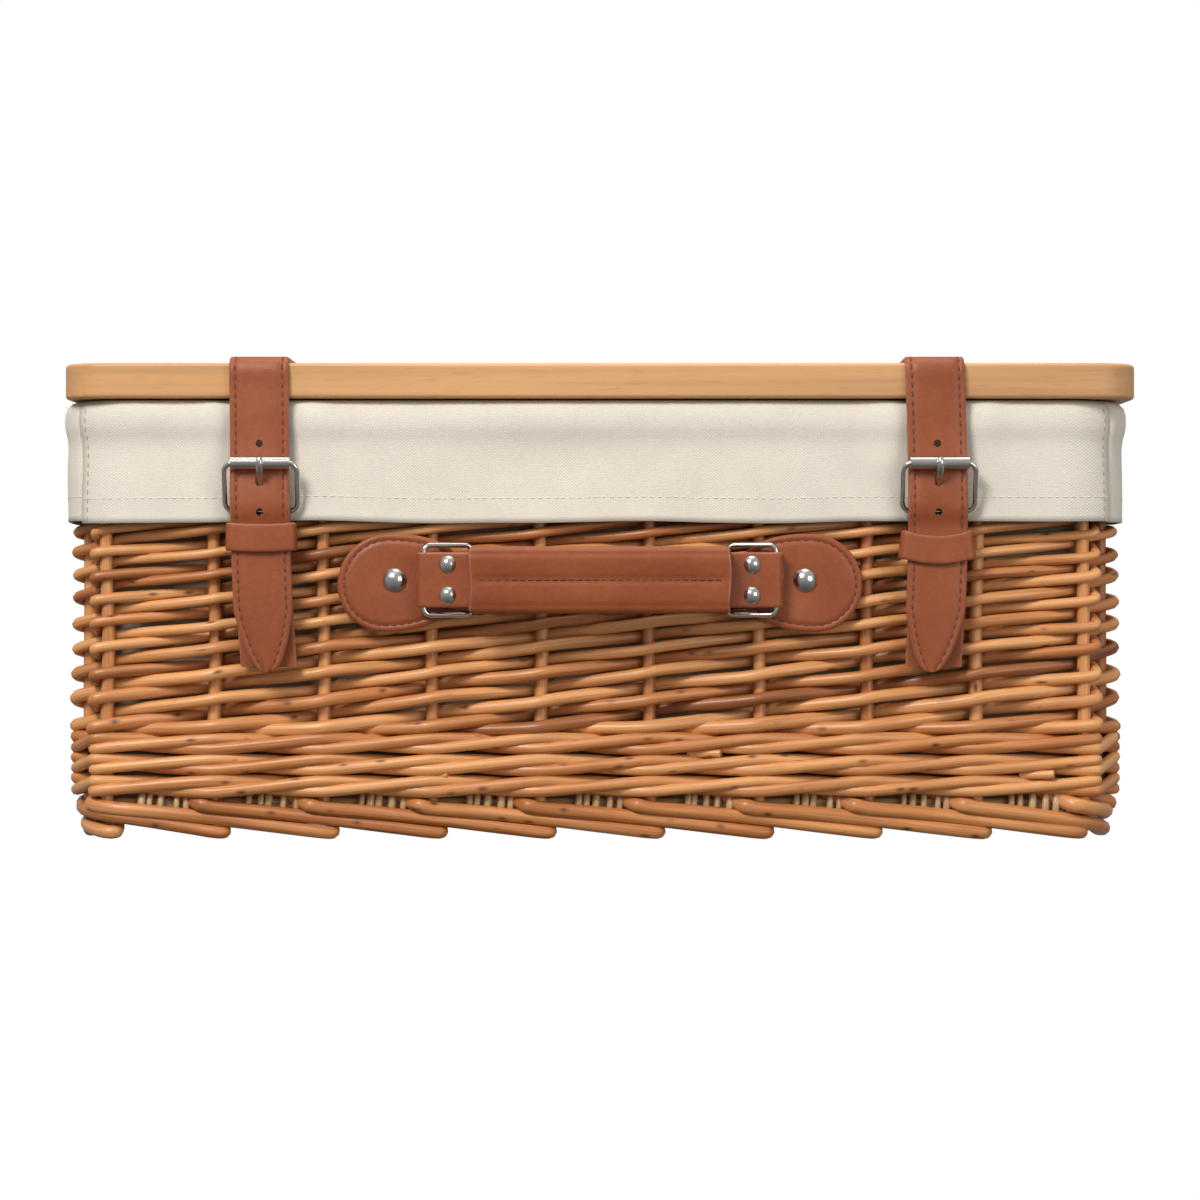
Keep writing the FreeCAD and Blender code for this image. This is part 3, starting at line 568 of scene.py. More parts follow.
def rand_weave():
    """French rand: one rod from each stake, in front of one and behind the next, a level up each time."""
    mesh = Mesh()
    unevenness = np.array([[random.uniform(-1, 1) for _ in range(STAKES)] for _ in range(RAND_LEVELS + 2)])
    levels = np.arange(-1, RAND_LEVELS + 1)
    for first in range(STAKES):
        girth = random.uniform(0.93, 1.07) * MM
        swing = np.where(levels % 2 == 0, 1.0, -1.0)
        at_stake = (3.0 - 0.98 * np.sqrt(np.clip(levels / RAND_LEVELS, 0, 1))) * girth
        shaken = unevenness[np.arange(len(levels)), (first + levels) % STAKES] * 0.95 * MM
        heights = rand_level(np.clip(levels, -0.3, None)) + shaken
        path, place = woven_path(first - 1, swing * (STAKE_R + at_stake * 0.94), heights)
        level = place - 1
        thick = (3.0 - 0.98 * np.sqrt(np.clip(level / RAND_LEVELS, 0, 1))) * girth
        tube(mesh, path, thick, 9, random.uniform(0.15, 0.95), first * 2.71)
    return mesh.build("willow_side_weave", WILLOW)


def wale_band(mesh, low, rows, row_height, radius, seed):
    """Three-rod wale: each rod goes in front of two stakes and behind one, rising as it goes."""
    places = ((1.0, 0.24), (1.0, 0.74), (-1.0, 0.52))
    for row in range(rows):
        for rod_index in range(3):
            first = FRONT_STAKES + SIDE_STAKES + 3
            while (first - rod_index - row) % 3 != 2:
                first += 1
            count = np.arange(first, first + 34)
            beat = np.mod(count - rod_index - row, 3)
            out = np.array([places[value][0] for value in beat])
            up = np.array([places[value][1] for value in beat])
            wobble = wander(count * 1.7, seed + row * 3 + rod_index) * 0.4 * MM
            heights = low + row_height * (row + up) + wobble
            path, place = woven_path(first, out * (STAKE_R + radius * 0.96), heights)
            thick = radius * (1.07 - 0.15 * np.mod(place / 33 + rod_index / 3 + row * 0.2, 1))
            tube(mesh, path, thick, 9, random.uniform(0.45, 0.95), seed + row * 3.7 + rod_index * 1.9)


def cut_ends(mesh):
    """Trimmed tips that stand out between the rows of the wale."""
    for index, (count, row) in enumerate(((2.85, 1.0), (5.35, 2.0), (8.4, 1.0), (13.2, 2.0), (22.4, 1.0), (28.7, 2.0))):
        spot = along(count)
        height = wale_low.z + row * WALE_ROW
        steps = np.linspace(0, 1, 8)
        path = wall(spot + steps * 14 * MM, (1.0 + 4.6 * steps) * MM, height + 0.4 * MM * steps)
        tube(mesh, path, 1.9 * MM, 9, 0.9, 40 + index, round_ends=False)


WALE_ROWS = 3
WALE_ROW = (wale_high.z - wale_low.z) / WALE_ROWS
BORDER_ROD_R = 3.3 * MM


def lower_wale():
    mesh = Mesh()
    wale_band(mesh, wale_low.z, WALE_ROWS, WALE_ROW, 2.62 * MM, 3.0)
    cut_ends(mesh)
    return mesh.build("willow_lower_wale", WILLOW)


def upper_wale():
    mesh = Mesh()
    wale_band(mesh, upper_low.z + 4 * MM, 1, 9.5 * MM, 2.2 * MM, 23.0)
    return mesh.build("willow_upper_wale", WILLOW)


def top_border():
    mesh = Mesh()
    wale_band(mesh, border_low.z, 1, border_high.z - border_low.z - 1 * MM, BORDER_ROD_R * 0.85, 31.0)
    return mesh.build("willow_top_border", WILLOW)


def foot_border():
    """Foot: a rod kinks out from under the wale at each stake and slopes down over two more."""
    mesh = Mesh()
    top = foot_high.z
    for index in range(STAKES):
        spot = float(along(index)) - 5 * MM
        reach = float(along(index + 2.2)) - 5 * MM - spot
        drop = random.uniform(-0.5, 0.5) * MM
        end = spot + reach
        kink_z = top - 3.9 * MM + drop
        low_z = 3.0 * MM
        hand = (
            (spot - 15 * MM, -6.8 * MM, top + 1.5 * MM),
            (spot - 7 * MM, -2.6 * MM, top - 1.2 * MM),
            (spot - 1.4 * MM, 2.5 * MM, kink_z + 0.4 * MM),
            (spot + 0.9 * MM, 3.5 * MM, kink_z - 0.1 * MM),
            (spot + 6.5 * MM, 2.9 * MM, kink_z - 1.2 * MM),
            (spot + reach * 0.28, 1.9 * MM, kink_z * 0.72 + low_z * 0.28),
            (spot + reach * 0.52, 0.9 * MM, kink_z * 0.48 + low_z * 0.52),
            (spot + reach * 0.80, 0.8 * MM, kink_z * 0.17 + low_z * 0.83),
            (end - 4 * MM, 0.9 * MM, low_z),
            (end - 0.2 * MM, -1.0 * MM, low_z + 0.2 * MM),
            (end - 1.0 * MM, -5.4 * MM, low_z + 2.6 * MM),
        )
        line = curve_through(hand, 7)
        path = wall(line[:, 0], line[:, 1], line[:, 2])
        thick = np.interp(np.linspace(0, 1, len(path)), (0, 0.2, 0.5, 0.9, 1), (2.8, 3.3, 3.1, 2.85, 2.2)) * MM
        tube(mesh, path, thick * random.uniform(0.96, 1.04), 10, random.uniform(0.25, 0.75), 60 + index * 1.7)
    return mesh.build("willow_foot", WILLOW)


def base():
    """Base: sticks along X, weavers across them, and weavers turning round the outer sticks."""
    mesh = Mesh()
    middle = (base_low.z + base_high.z) / 2
    sticks_low, sticks_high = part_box("base_sticks")
    stick_r = (sticks_high.z - sticks_low.z) / 2
    sticks = 7
    rows = np.linspace(sticks_low.y + stick_r, sticks_high.y - stick_r, sticks)
    for index, y in enumerate(rows):
        xs = np.linspace(sticks_low.x - WIDER, sticks_high.x + WIDER, 12) + CENTRE_X
        path = np.stack((xs, np.full_like(xs, y), np.full_like(xs, middle)), axis=-1)
        tube(mesh, path, stick_r * 0.9, 8, 0.5, 90 + index)
    pitch = 4.3 * MM
    half = int((base_high.x + WIDER - 2 * MM) / pitch)
    ys = np.linspace(base_low.y + 3 * MM, base_high.y - 3 * MM, 57)
    for index in range(-half, half + 1):
        phase = math.pi * ((ys - rows[0]) / (rows[1] - rows[0])) + (math.pi / 2 if index % 2 else -math.pi / 2)
        heights = middle + 3.4 * MM * np.sin(phase + math.pi)
        drift = wander(ys * 20, index) * 0.3 * MM
        path = np.stack((index * pitch + drift + CENTRE_X, ys, heights), axis=-1)
        tube(mesh, path, 1.55 * MM, 6, random.uniform(0.3, 0.9), 120 + index)
    edge_z = foot_high.z - 3.6 * MM
    turns = np.linspace(-0.62 * math.pi, 0.62 * math.pi, 12)
    for index in range(STAKES):
        begin, end = along(index), along(index + 1)
        if end - begin < 30 * MM:
            continue
        for share in (0.33, 0.42, 0.51, 0.64, 0.74, 0.84):
            spot = begin + (end - begin) * share + random.uniform(-1, 1) * MM
            outside = -3.4 * MM + 4.0 * MM * np.cos(turns)
            heights = edge_z + 4.4 * MM * np.sin(turns)
            tube(mesh, wall(spot + turns * 0.2 * MM, outside, heights), random.uniform(1.25, 1.75) * MM, 7,
                 random.uniform(0.5, 0.95), 300 + index * 6 + share)
    for share in (-1, 1):
        count = np.linspace(0, STAKES, 260)
        path = wall(along(count), -4.0 * MM, edge_z + share * 0.9 * MM)
        tube(mesh, path, 1.9 * MM, 7, 0.4, 500 + share)
    return mesh.build("willow_base", PALE_WILLOW)


def woven_body():
    groups = (
        (stakes, ("front_stakes", "back_stakes", "left_stakes", "right_stakes")),
        (rand_weave, ("side_weave",)),
        (lower_wale, ("lower_wale",)),
        (upper_wale, ("upper_wale",)),
        (top_border, ("top_border",)),
        (foot_border, ("foot_border",)),
        (base, ("base_weave", "base_sticks")),
    )
    for make, nodes in groups:
        piece = make()
        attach(piece, "basket")
        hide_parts(*nodes)


woven_body()


# ---------------------------------------------------------------- the liner

rim_low, rim_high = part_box("liner_front_panel")
tab_low, tab_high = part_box("left_buckle_tab")
STRAP_X = -(tab_low.x + tab_high.x) / 2
LINER_STEP = 2.6 * MM
CLOTH = 1.0 * MM
CUFF_BOTTOM = rim_low.z
CUFF_HEM = 136.0 * MM
HEM_STITCH = 9.5 * MM
FLOOR_IN = 10.2 * MM


def liner_profile():
    """Cloth from the bottom of the inside wall, over the rim and down to the hem: (offset, height)."""
    hand = np.array((
        (-9.3, base_high.z / MM + 0.9), (-9.4, 60), (-9.4, 120), (-9.2, 176), (-8.2, 184.5), (-5.8, 187.3),
        (0, 187.7), (6.0, 187.2), (9.2, 184.6), (10.2, 179), (9.9, 175), (8.9, 170.8), (8.6, 165), (8.8, 150),
        (8.9, 141), (9.0, CUFF_HEM / MM),
    )) * MM
    line = curve_through(hand, 24)
    run = np.concatenate(([0], np.cumsum(np.linalg.norm(np.diff(line, axis=0), axis=1))))
    even = np.linspace(0, run[-1], int(run[-1] / LINER_STEP) + 1)
    return np.stack([np.interp(even, run, line[:, k]) for k in range(2)], axis=-1), even


def cloth_drift(spots, heights, outer, seed):
    """How far cloth stands off its profile: slow waves, and hollows where the straps press the cuff."""
    waves = np.zeros(spots.shape)
    for index in np.ndindex(spots.shape):
        place = Vector((spots[index] * 16, heights[index] * 34, seed))
        fine = Vector((spots[index] * 75, heights[index] * 60, seed + 9))
        waves[index] = noise.noise(place) * 1.15 + noise.noise(fine) * 0.28
    points = wall(spots, 0, 0)
    beside = np.abs(np.abs(points[..., 0]) - STRAP_X)
    pressed = np.exp(-(beside / (15 * MM)) ** 4)
    pucker = np.exp(-((beside - 21 * MM) / (7 * MM)) ** 2)
    return (waves - 1.0 * pressed * outer + 1.3 * pucker * outer) * MM


def liner_panel(name, begin, end, seed):
    profile, run = liner_profile()
    columns = int((end - begin) / LINER_STEP)
    spots = np.linspace(begin, end, columns + 1)
    spot_grid, run_grid = np.meshgrid(spots, run, indexing="ij")
    outer = smooth((profile[:, 0] - 4 * MM) / (4 * MM))[None, :]
    heights = np.broadcast_to(profile[:, 1], spot_grid.shape)
    drift = cloth_drift(spot_grid, heights, outer, seed)
    seam = np.minimum(spot_grid - begin, end - spot_grid)
    pinch = 0.35 * MM * np.exp(-(seam / (2.6 * MM)) ** 2)
    away = np.where(profile[:, 0] > 0, 1.0, -0.35)[None, :]
    offsets = profile[None, :, 0] + drift * away * np.where(profile[:, 0] > 0, 1, 0.6)[None, :] - pinch * away
    hem = smooth((run_grid - run[-1] + 40 * MM) / (40 * MM))
    sag = wander(spots * 22, seed + 3)[:, None] * 0.9 * MM
    points = wall(spot_grid, offsets, heights + sag * hem)
    mesh = Mesh()
    grain = np.stack((spot_grid, run_grid, np.zeros_like(spot_grid)), axis=-1)
    mesh.grid(points, grain)
    # The second material is painted shade: the darker canvas goes on the solidified faces towards the weave, which are
    # seen through its gaps.
    piece = mesh.build(name, CANVAS, CANVAS_PAINTED_SHADE)
    hem_out = wall(spots[-1], 1, 0) - wall(spots[-1], 0, 0)
    if piece.data.polygons[-1].normal.dot(Vector(hem_out)) < 0:
        piece.data.flip_normals()
    thicken(piece, CLOTH, 1)
    hem_column = np.argmin(np.abs(run - (run[-1] - HEM_STITCH)))
    seam_threads = Mesh()
    stitch_row(seam_threads, points[:, hem_column], wall(spots, 1, 0) - wall(spots, 0, 0),
               3.4 * MM, 2.3 * MM, 0.2 * MM, lift=CLOTH * 0.5)
    side = profile[:, 0] > 8 * MM
    for column in (1, -2) if end - begin > STRAIGHT_X else ():
        edge = points[column][side]
        out = np.broadcast_to((wall(spots[column], 1, 0) - wall(spots[column], 0, 0)), edge.shape)
        stitch_row(seam_threads, edge, out, 3.6 * MM, 2.2 * MM, 0.3 * MM, lift=CLOTH * 0.5, slot=1)
    threads = seam_threads.build(name + "_stitches", CREAM_THREAD, TAN_THREAD)
    return piece, threads, (end - begin, float(run[-1]))


def thicken(piece, thickness, back=0):
    """Gives a sheet its thickness, half on each side, as real geometry, and moves its back faces on by back material
    slots; on the liner panels that gives them the darker canvas, which is painted shade.
    """
    modifier = piece.modifiers.new("thickness", "SOLIDIFY")
    modifier.thickness = thickness
    modifier.offset = 0
    modifier.material_offset = back
    settle(piece)


def settle(piece):
    """Makes a piece's modifiers part of its mesh."""
    bpy.context.view_layer.update()
    evaluated = piece.evaluated_get(bpy.context.evaluated_depsgraph_get())
    made = bpy.data.meshes.new_from_object(evaluated)
    piece.modifiers.clear()
    piece.data = made


def stitch_row(mesh, line, out, pitch, length, radius, lift=0.0, slot=0):
    """Stitches along a line of points, each a short thread that dips into the surface at both ends."""
    steps = np.linalg.norm(np.diff(line, axis=0), axis=1)
    run = np.concatenate(([0], np.cumsum(steps)))
    count = max(1, int(run[-1] / pitch))
    for index in range(count):
        begin = (index + 0.5) * run[-1] / count - length / 2
        spots = begin + length * np.array((0, 0.2, 0.5, 0.8, 1.0))
        points = np.stack([np.interp(spots, run, line[:, k]) for k in range(3)], axis=-1)
        away = np.stack([np.interp(spots, run, out[:, k]) for k in range(3)], axis=-1)
        rise = lift + radius * np.array((-0.9, 0.25, 0.5, 0.25, -0.9))
        tube(mesh, points + away * rise[:, None], radius, 6, 0.5, index * 0.7, slot, round_ends=False)


def liner():
    half_arc = ARC / 2
    front_end = STRAIGHT_X + half_arc
    right_end = front_end + half_arc * 2 + STRAIGHT_Y
    panels = (
        ("liner_front_panel", -half_arc, front_end, 1.0),
        ("liner_right_panel", front_end, right_end, 2.0),
        ("liner_back_panel", right_end, right_end + half_arc * 2 + STRAIGHT_X, 3.0),
        ("liner_left_panel", right_end + half_arc * 2 + STRAIGHT_X, ROUND - half_arc, 4.0),
    )
    for node_name, begin, end, seed in panels:
        piece, threads, flat = liner_panel("cloth_" + node_name, begin, end, seed)
        for made in (piece, threads):
            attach(made, "basket")
        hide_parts(node_name)


def liner_floor():
    low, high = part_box("liner_floor")
    reach_x, reach_y = HALF_X - FLOOR_IN, HALF_Y - FLOOR_IN
    corner = CORNER_R - FLOOR_IN
    grid_x, grid_y = np.meshgrid(np.linspace(-reach_x, reach_x, 120), np.linspace(-reach_y, reach_y, 78),
                                 indexing="ij")
    past_x = np.clip(np.abs(grid_x) - (reach_x - corner), 0, None)
    past_y = np.clip(np.abs(grid_y) - (reach_y - corner), 0, None)
    square = np.maximum(past_x, past_y)
    diagonal = np.maximum(np.hypot(past_x, past_y), 1e-9)
    shrink = np.where((past_x > 0) & (past_y > 0), square / diagonal, 1.0)
    grid_x = np.where(past_x > 0, np.sign(grid_x) * (reach_x - corner + past_x * shrink), grid_x) + CENTRE_X
    grid_y = np.where(past_y > 0, np.sign(grid_y) * (reach_y - corner + past_y * shrink), grid_y) + CENTRE_Y
    height = np.zeros_like(grid_x)
    for index in np.ndindex(height.shape):
        height[index] = noise.noise(Vector((grid_x[index] * 22, grid_y[index] * 22, 7.0))) * 0.3 * MM
    points = np.stack((grid_x, grid_y, (low.z + high.z) / 2 + height), axis=-1)
    mesh = Mesh()
    mesh.grid(points)
    piece = mesh.build("cloth_liner_floor", CANVAS)
    thicken(piece, CLOTH)
    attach(piece, "basket")
    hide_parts("liner_floor")


liner()
liner_floor()


# ---------------------------------------------------------------- leather

STITCH_IN = 2.7 * MM
STITCH_PITCH = 3.9 * MM
STITCH_LONG = 2.6 * MM
STITCH_R = 0.34 * MM
STITCH_DIP = 0.28 * MM
EASED_EDGE = ((0.0, 0.30), (0.18, 0.72), (0.55, 0.93), (1.0, 1.0))
CUT_EDGES = (0, 1, 15, 16, 17, 19)


def slant(run, half):
    """How much longer an inset is across a strip than square to its edge, where the strip tapers."""
    return np.minimum(np.sqrt(1 + np.gradient(half, run) ** 2), 2.0)


def ribbon(mesh, line, out, across, half_width, thick, closed=False, groove=True):
    """A leather strip: back face along a line, thickness towards out, width along across.

    Its face has eased edges and, where it is stitched, a pressed channel along each edge. Its cut edges
    take the mesh's second material.
    """
    half = np.broadcast_to(np.asarray(half_width, float), len(line))
    run = np.concatenate(([0], np.cumsum(np.linalg.norm(np.diff(line, axis=0), axis=1))))
    skew = slant(run, half)
    dip = STITCH_DIP if groove else 0.0
    face = EASED_EDGE + ((2.2, 1.0), (2.5, None), (2.9, None), (3.2, 1.0), (6.0, 1.01))
    columns = []
    for side in (-1, 1):
        group = []
        for inset, level in face:
            room = np.minimum(inset * MM * skew, half * inset / 6.2)
            rise = thick - dip if level is None else thick * level
            group.append(line + across * (side * (half - room))[:, None] + out * rise)
        columns += group if side < 0 else group[::-1]
    for side in (1, -1):
        columns.append(line + across * (side * (half - 0.3 * MM))[:, None])
    slots = [1 if column in CUT_EDGES else 0 for column in range(len(columns))]
    mesh.grid(np.stack(columns, axis=1), wrap=True, caps=not closed, slot=slots, loop=closed)


def edge_stitches(mesh, line, out, across, half_width, thick):
    """The two rows of stitching in the channels of a ribbon."""
    half = np.broadcast_to(np.asarray(half_width, float), len(line))
    run = np.concatenate(([0], np.cumsum(np.linalg.norm(np.diff(line, axis=0), axis=1))))
    inset = STITCH_IN * slant(run, half)
    keep = half - inset > 0.6 * MM
    for side in (-1, 1):
        row = line + across * (side * (half - inset))[:, None] + out * (thick - STITCH_DIP)
        stitch_row(mesh, row[keep], out[keep], STITCH_PITCH, STITCH_LONG, STITCH_R)


def in_plane(hand, x, samples=24):
    """Points along a line given as (y, z) in mm about the body, their outward directions and distances."""
    flat = curve_through((np.asarray(hand, float) + (Y0, 0)) * MM, samples)
    run = np.concatenate(([0], np.cumsum(np.linalg.norm(np.diff(flat, axis=0), axis=1))))
    even = np.linspace(0, run[-1], int(run[-1] / (1.6 * MM)) + 2)
    flat = np.stack([np.interp(even, run, flat[:, k]) for k in range(2)], axis=-1)
    steps = np.gradient(flat, axis=0)
    steps /= np.linalg.norm(steps, axis=1, keepdims=True)
    line = np.stack((np.full(len(flat), x), flat[:, 0], flat[:, 1]), axis=-1)
    out = np.stack((np.zeros(len(steps)), steps[:, 1], -steps[:, 0]), axis=-1)
    return line, out, even


STRAP_HALF = 12.7 * MM
STRAP_THICK = 2.6 * MM
ACROSS = np.array((1.0, 0.0, 0.0))
Y0 = CENTRE_Y / MM
strap_low, strap_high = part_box("left_strap")
tail_low, tail_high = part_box("left_strap_tail")
anchor_low, anchor_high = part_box("left_strap_anchor")
TOP = lid_high.z / MM
TIP = tail_low.z / MM
HOLE_TOP = 169.0
HOLE_PITCH = 14.6
DRIFT_FALL = (0.0, 0.35, 0.7, 1.0)


def front_strap(name, side, drift):
    """One strap from the middle of the lid over its front edge and down to the punched, rounded tip.

    Drift is how far it stands aside at the lid, the buckle, the keeper and the tip.
    """
    line, out, run = in_plane((
        (0, TOP + 0.1), (-60, TOP + 0.1), (-120, TOP + 0.1), (-146, TOP + 0.2), (-152.2, TOP + 0.1),
        (-154.9, TOP - 1.3), (-155.5, TOP - 4), (-155.6, TOP - 10), (-155.9, 184), (-156.0, 173),
        (-156.9, 161), (-158.5, 148), (-158.7, 141), (-157.0, 135), (-156.8, 127), (-156.9, 110),
        (-157.1, 90), (-156.6, TIP),
    ), side * STRAP_X)
    fall = np.clip((tail_high.z - line[:, 2]) / (tail_high.z - tail_low.z), 0, 1)
    line[:, 0] += np.polyval(np.polyfit(DRIFT_FALL, drift, 3), fall) * np.clip(run / (150 * MM), 0, 1) * MM
    taper = np.clip((run[-1] - run + 0.3 * MM) / (26.3 * MM), 0, 1)
    half = STRAP_HALF * taper ** 0.40
    body = Mesh()
    ribbon(body, line, out, ACROSS, half, STRAP_THICK)
    piece = body.build(name, LEATHER, LEATHER_EDGE)
    down = np.interp([HOLE_TOP, HOLE_TOP - HOLE_PITCH, HOLE_TOP - 2 * HOLE_PITCH],
                     line[::-1, 2] / MM, line[::-1, 0])
    for index, (x, radius, drawn) in enumerate(zip(down, (1.6, 1.7, 1.6), (0.0, 2.0, 0.0))):
        punch(piece, x, (HOLE_TOP - HOLE_PITCH * index) * MM, radius * MM, radius * MM, drawn * MM)
    threads = Mesh()
    edge_stitches(threads, line, out, ACROSS, half, STRAP_THICK)
    return piece, threads.build(name + "_stitches", BROWN_THREAD)


def punch(piece, x, z, half_x, half_z, drawn=0.0, depth=(-175.0, -145.0), sides=20):
    """A hole through the front of a strap, and how far the prong has drawn it down."""
    angle = np.linspace(0, 2 * math.pi, sides, endpoint=False) + math.pi / sides
    rim_z = z + half_z * np.sin(angle) - np.where(np.sin(angle) > 0, 0, drawn)
    ring = np.stack((x + half_x * np.cos(angle), np.zeros(sides), rim_z), axis=-1)
    ends = [ring + np.array((0, (Y0 + y) * MM, 0)) for y in depth]
    cutter = Mesh()
    cutter.grid(np.stack(ends), wrap=True, caps=True)
    tool = cutter.build("cutter", LEATHER_EDGE)
    cut = piece.modifiers.new("hole", "BOOLEAN")
    cut.operation = "DIFFERENCE"
    cut.solver = "EXACT"
    cut.object = tool
    settle(piece)
    bpy.data.objects.remove(tool)
    shell = bmesh.new()
    shell.from_mesh(piece.data)
    mark_sharp(shell)
    shell.to_mesh(piece.data)
    shell.free()


def back_strap(name, side):
    """The other half of a strap: from the back wall, round the hinge line and over to mid-lid."""
    back = 152.9
    line, out, run = in_plane((
        (back, anchor_low.z / MM), (back, 120), (back, 140), (back, 160), (back, 177), (153.6, 183.5),
        (155.2, 189.5), (155.6, TOP - 10), (155.6, TOP - 4), (155.0, TOP - 1.3), (152.4, TOP + 0.1),
        (146, TOP + 0.2), (120, TOP + 0.1), (60, TOP + 0.1), (0, TOP + 0.1),
    ), side * STRAP_X)
    half = STRAP_HALF * (0.72 + 0.28 * np.sqrt(np.clip(run / (5 * MM), 0, 1)))
    body = Mesh()
    ribbon(body, line, out, ACROSS, half, STRAP_THICK)
    threads = Mesh()
    edge_stitches(threads, line, out, ACROSS, half, STRAP_THICK)
    return body.build(name, LEATHER, LEATHER_EDGE), threads.build(name + "_stitches", BROWN_THREAD)


HEEL = np.array((-155.3, 140.3))
ROLLER = np.array((-162.6, 160.6))
BUCKLE_WIRE = 1.15 * MM
TAB_SKEW = {"left": 3.0 * MM, "right": -1.9 * MM}
KEEPER_SAG = {"left": 0.6 * MM, "right": 2.4 * MM}
KEEPER_DROP = {"left": 0.0, "right": 1.3 * MM}
KEEPER_FLARE = {"left": 0.01, "right": 0.10}
KEEPER_SHIFT = {"left": 0.0, "right": -0.7 * MM}
FRAME_WIDER = 1.0


def rounded_loop(half_u, low_v, high_v, corner, step=1.0):
    """Points round a rectangle with rounded corners, evenly spaced, going once round."""
    spots = []
    middle = (low_v + high_v) / 2
    half_v = (high_v - low_v) / 2
    for turn, (sign_u, sign_v) in enumerate(((1, -1), (1, 1), (-1, 1), (-1, -1))):
        for angle in np.linspace(-math.pi / 2, 0, 7) + turn * math.pi / 2:
            spots.append((sign_u * (half_u - corner) + corner * math.cos(angle),
                          middle + sign_v * (half_v - corner) + corner * math.sin(angle)))
    spots = np.array(spots + spots[:1])
    run = np.concatenate(([0], np.cumsum(np.linalg.norm(np.diff(spots, axis=0), axis=1))))
    even = np.linspace(0, run[-1], int(run[-1] / step), endpoint=False)
    return np.stack([np.interp(even, run, spots[:, k]) for k in range(2)], axis=-1)


def buckle_frame(name, side_name):
    low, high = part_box(side_name + "_buckle_frame")
    x = (low.x + high.x) / 2
    half_u = (high.x - low.x) / 2 / MM - 1.15 + FRAME_WIDER
    reach = ROLLER - HEEL
    length = float(np.hypot(*reach))
    spots = rounded_loop(half_u, 0, length, 4.0, 0.8)
    flat = HEEL + spots[:, 1:] * reach / length
    path = np.stack((x + spots[:, 0] * MM, (Y0 + flat[:, 0]) * MM, flat[:, 1] * MM), axis=-1)
    mesh = Mesh()
    tube(mesh, path, BUCKLE_WIRE, 12, closed=True)
    return mesh.build(name, NICKEL)


def prong(name, side_name):
    """A flat prong: an eye round the heel bar, then up through the strap and over the roller."""
    low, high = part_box(side_name + "_prong")
    x = (low.x + high.x) / 2
    turns = np.radians(np.linspace(-200, -20, 9))
    eye = HEEL + 1.95 * np.stack((-np.sin(turns), np.cos(turns)), axis=-1)
    hand = np.vstack((eye, ((-156.2, 145.5), (-157.4, 149.5), (-160.9, 153.0), (-164.4, 156.0),
                            (-166.6, 158.8), (-167.0, 161.0), (-166.8, 162.6))))
    line, out, run = in_plane(hand, x, 6)
    thick = np.interp(run, (0, run[-1] - 3 * MM, run[-1]), (0.95, 0.95, 0.75)) * MM
    mesh = Mesh()
    tube(mesh, line, thick, 12)
    shape = mesh.points[0]
    shape[:, 0] = x + (shape[:, 0] - x) * 1.6
    return mesh.build(name, NICKEL)


def keeper(name, side_name):
    """A plain leather band round the strap and the tab behind it, bulging a little in front."""
    low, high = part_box(side_name + "_keeper")
    x = (low.x + high.x) / 2
    wall_thick = 1.5 * MM
    half_u = (high.x - low.x) / 2 - wall_thick
    spots = rounded_loop(half_u / MM, (low.y + wall_thick) / MM, (high.y - wall_thick) / MM, 1.2, 0.9) * MM
    front = np.where(spots[:, 1] < (low.y + high.y) / 2, np.clip(1 - (spots[:, 0] / half_u) ** 2, 0, 1), 0)
    line = np.stack((x + spots[:, 0], spots[:, 1] - 0.5 * MM * front,
                     (low.z + high.z) / 2 - KEEPER_DROP[side_name] - KEEPER_SAG[side_name] * front), axis=-1)
    ahead = np.roll(line, -1, axis=0) - np.roll(line, 1, axis=0)
    out = np.stack((ahead[:, 1], -ahead[:, 0], np.zeros(len(ahead))), axis=-1)
    out /= np.linalg.norm(out, axis=1, keepdims=True)
    mesh = Mesh()
    ribbon(mesh, line, out, UP, (high.z - low.z) / 2, wall_thick, closed=True, groove=False)
    shape = mesh.points[0]
    down = ((low.z + high.z) / 2 - shape[:, 2]) / (high.z - low.z) + 0.5
    shape[:, 0] = x + KEEPER_SHIFT[side_name] + (shape[:, 0] - x) * (1 + KEEPER_FLARE[side_name] * down)
    return mesh.build(name, LEATHER, LEATHER_EDGE)


def tab(name, side_name):
    """Strip folded round the heel bar, slotted for the prong, its two layers riveted to the wall."""
    low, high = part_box(side_name + "_buckle_tab")
    x = (low.x + high.x) / 2
    turns = np.radians(np.linspace(0, 180, 9))
    bend = HEEL + 2.7 * np.stack((np.cos(turns), np.sin(turns)), axis=-1)
    hand = np.vstack((((-152.6, low.z / MM), (-152.6, 95), (-152.6, 120), (-152.6, 134)), bend,
                      ((-157.2, 136.5), (-155.9, 132), (-155.6, 120), (-155.6, 105), (-155.5, 92))))
    line, out, run = in_plane(hand, x, 8)
    fall = np.clip((HEEL[1] * MM - line[:, 2]) / (HEEL[1] * MM - low.z), 0, 1)
    line[:, 0] += TAB_SKEW[side_name] * fall ** 2
    mesh = Mesh()
    ribbon(mesh, line, -out, ACROSS, STRAP_HALF * 0.95, 1.45 * MM, groove=False)
    piece = mesh.build(name, LEATHER, LEATHER_EDGE)
    punch(piece, x, 140.5 * MM, 3.3 * MM, 6.0 * MM, depth=(-175.0, -147.0), sides=4)
    return piece


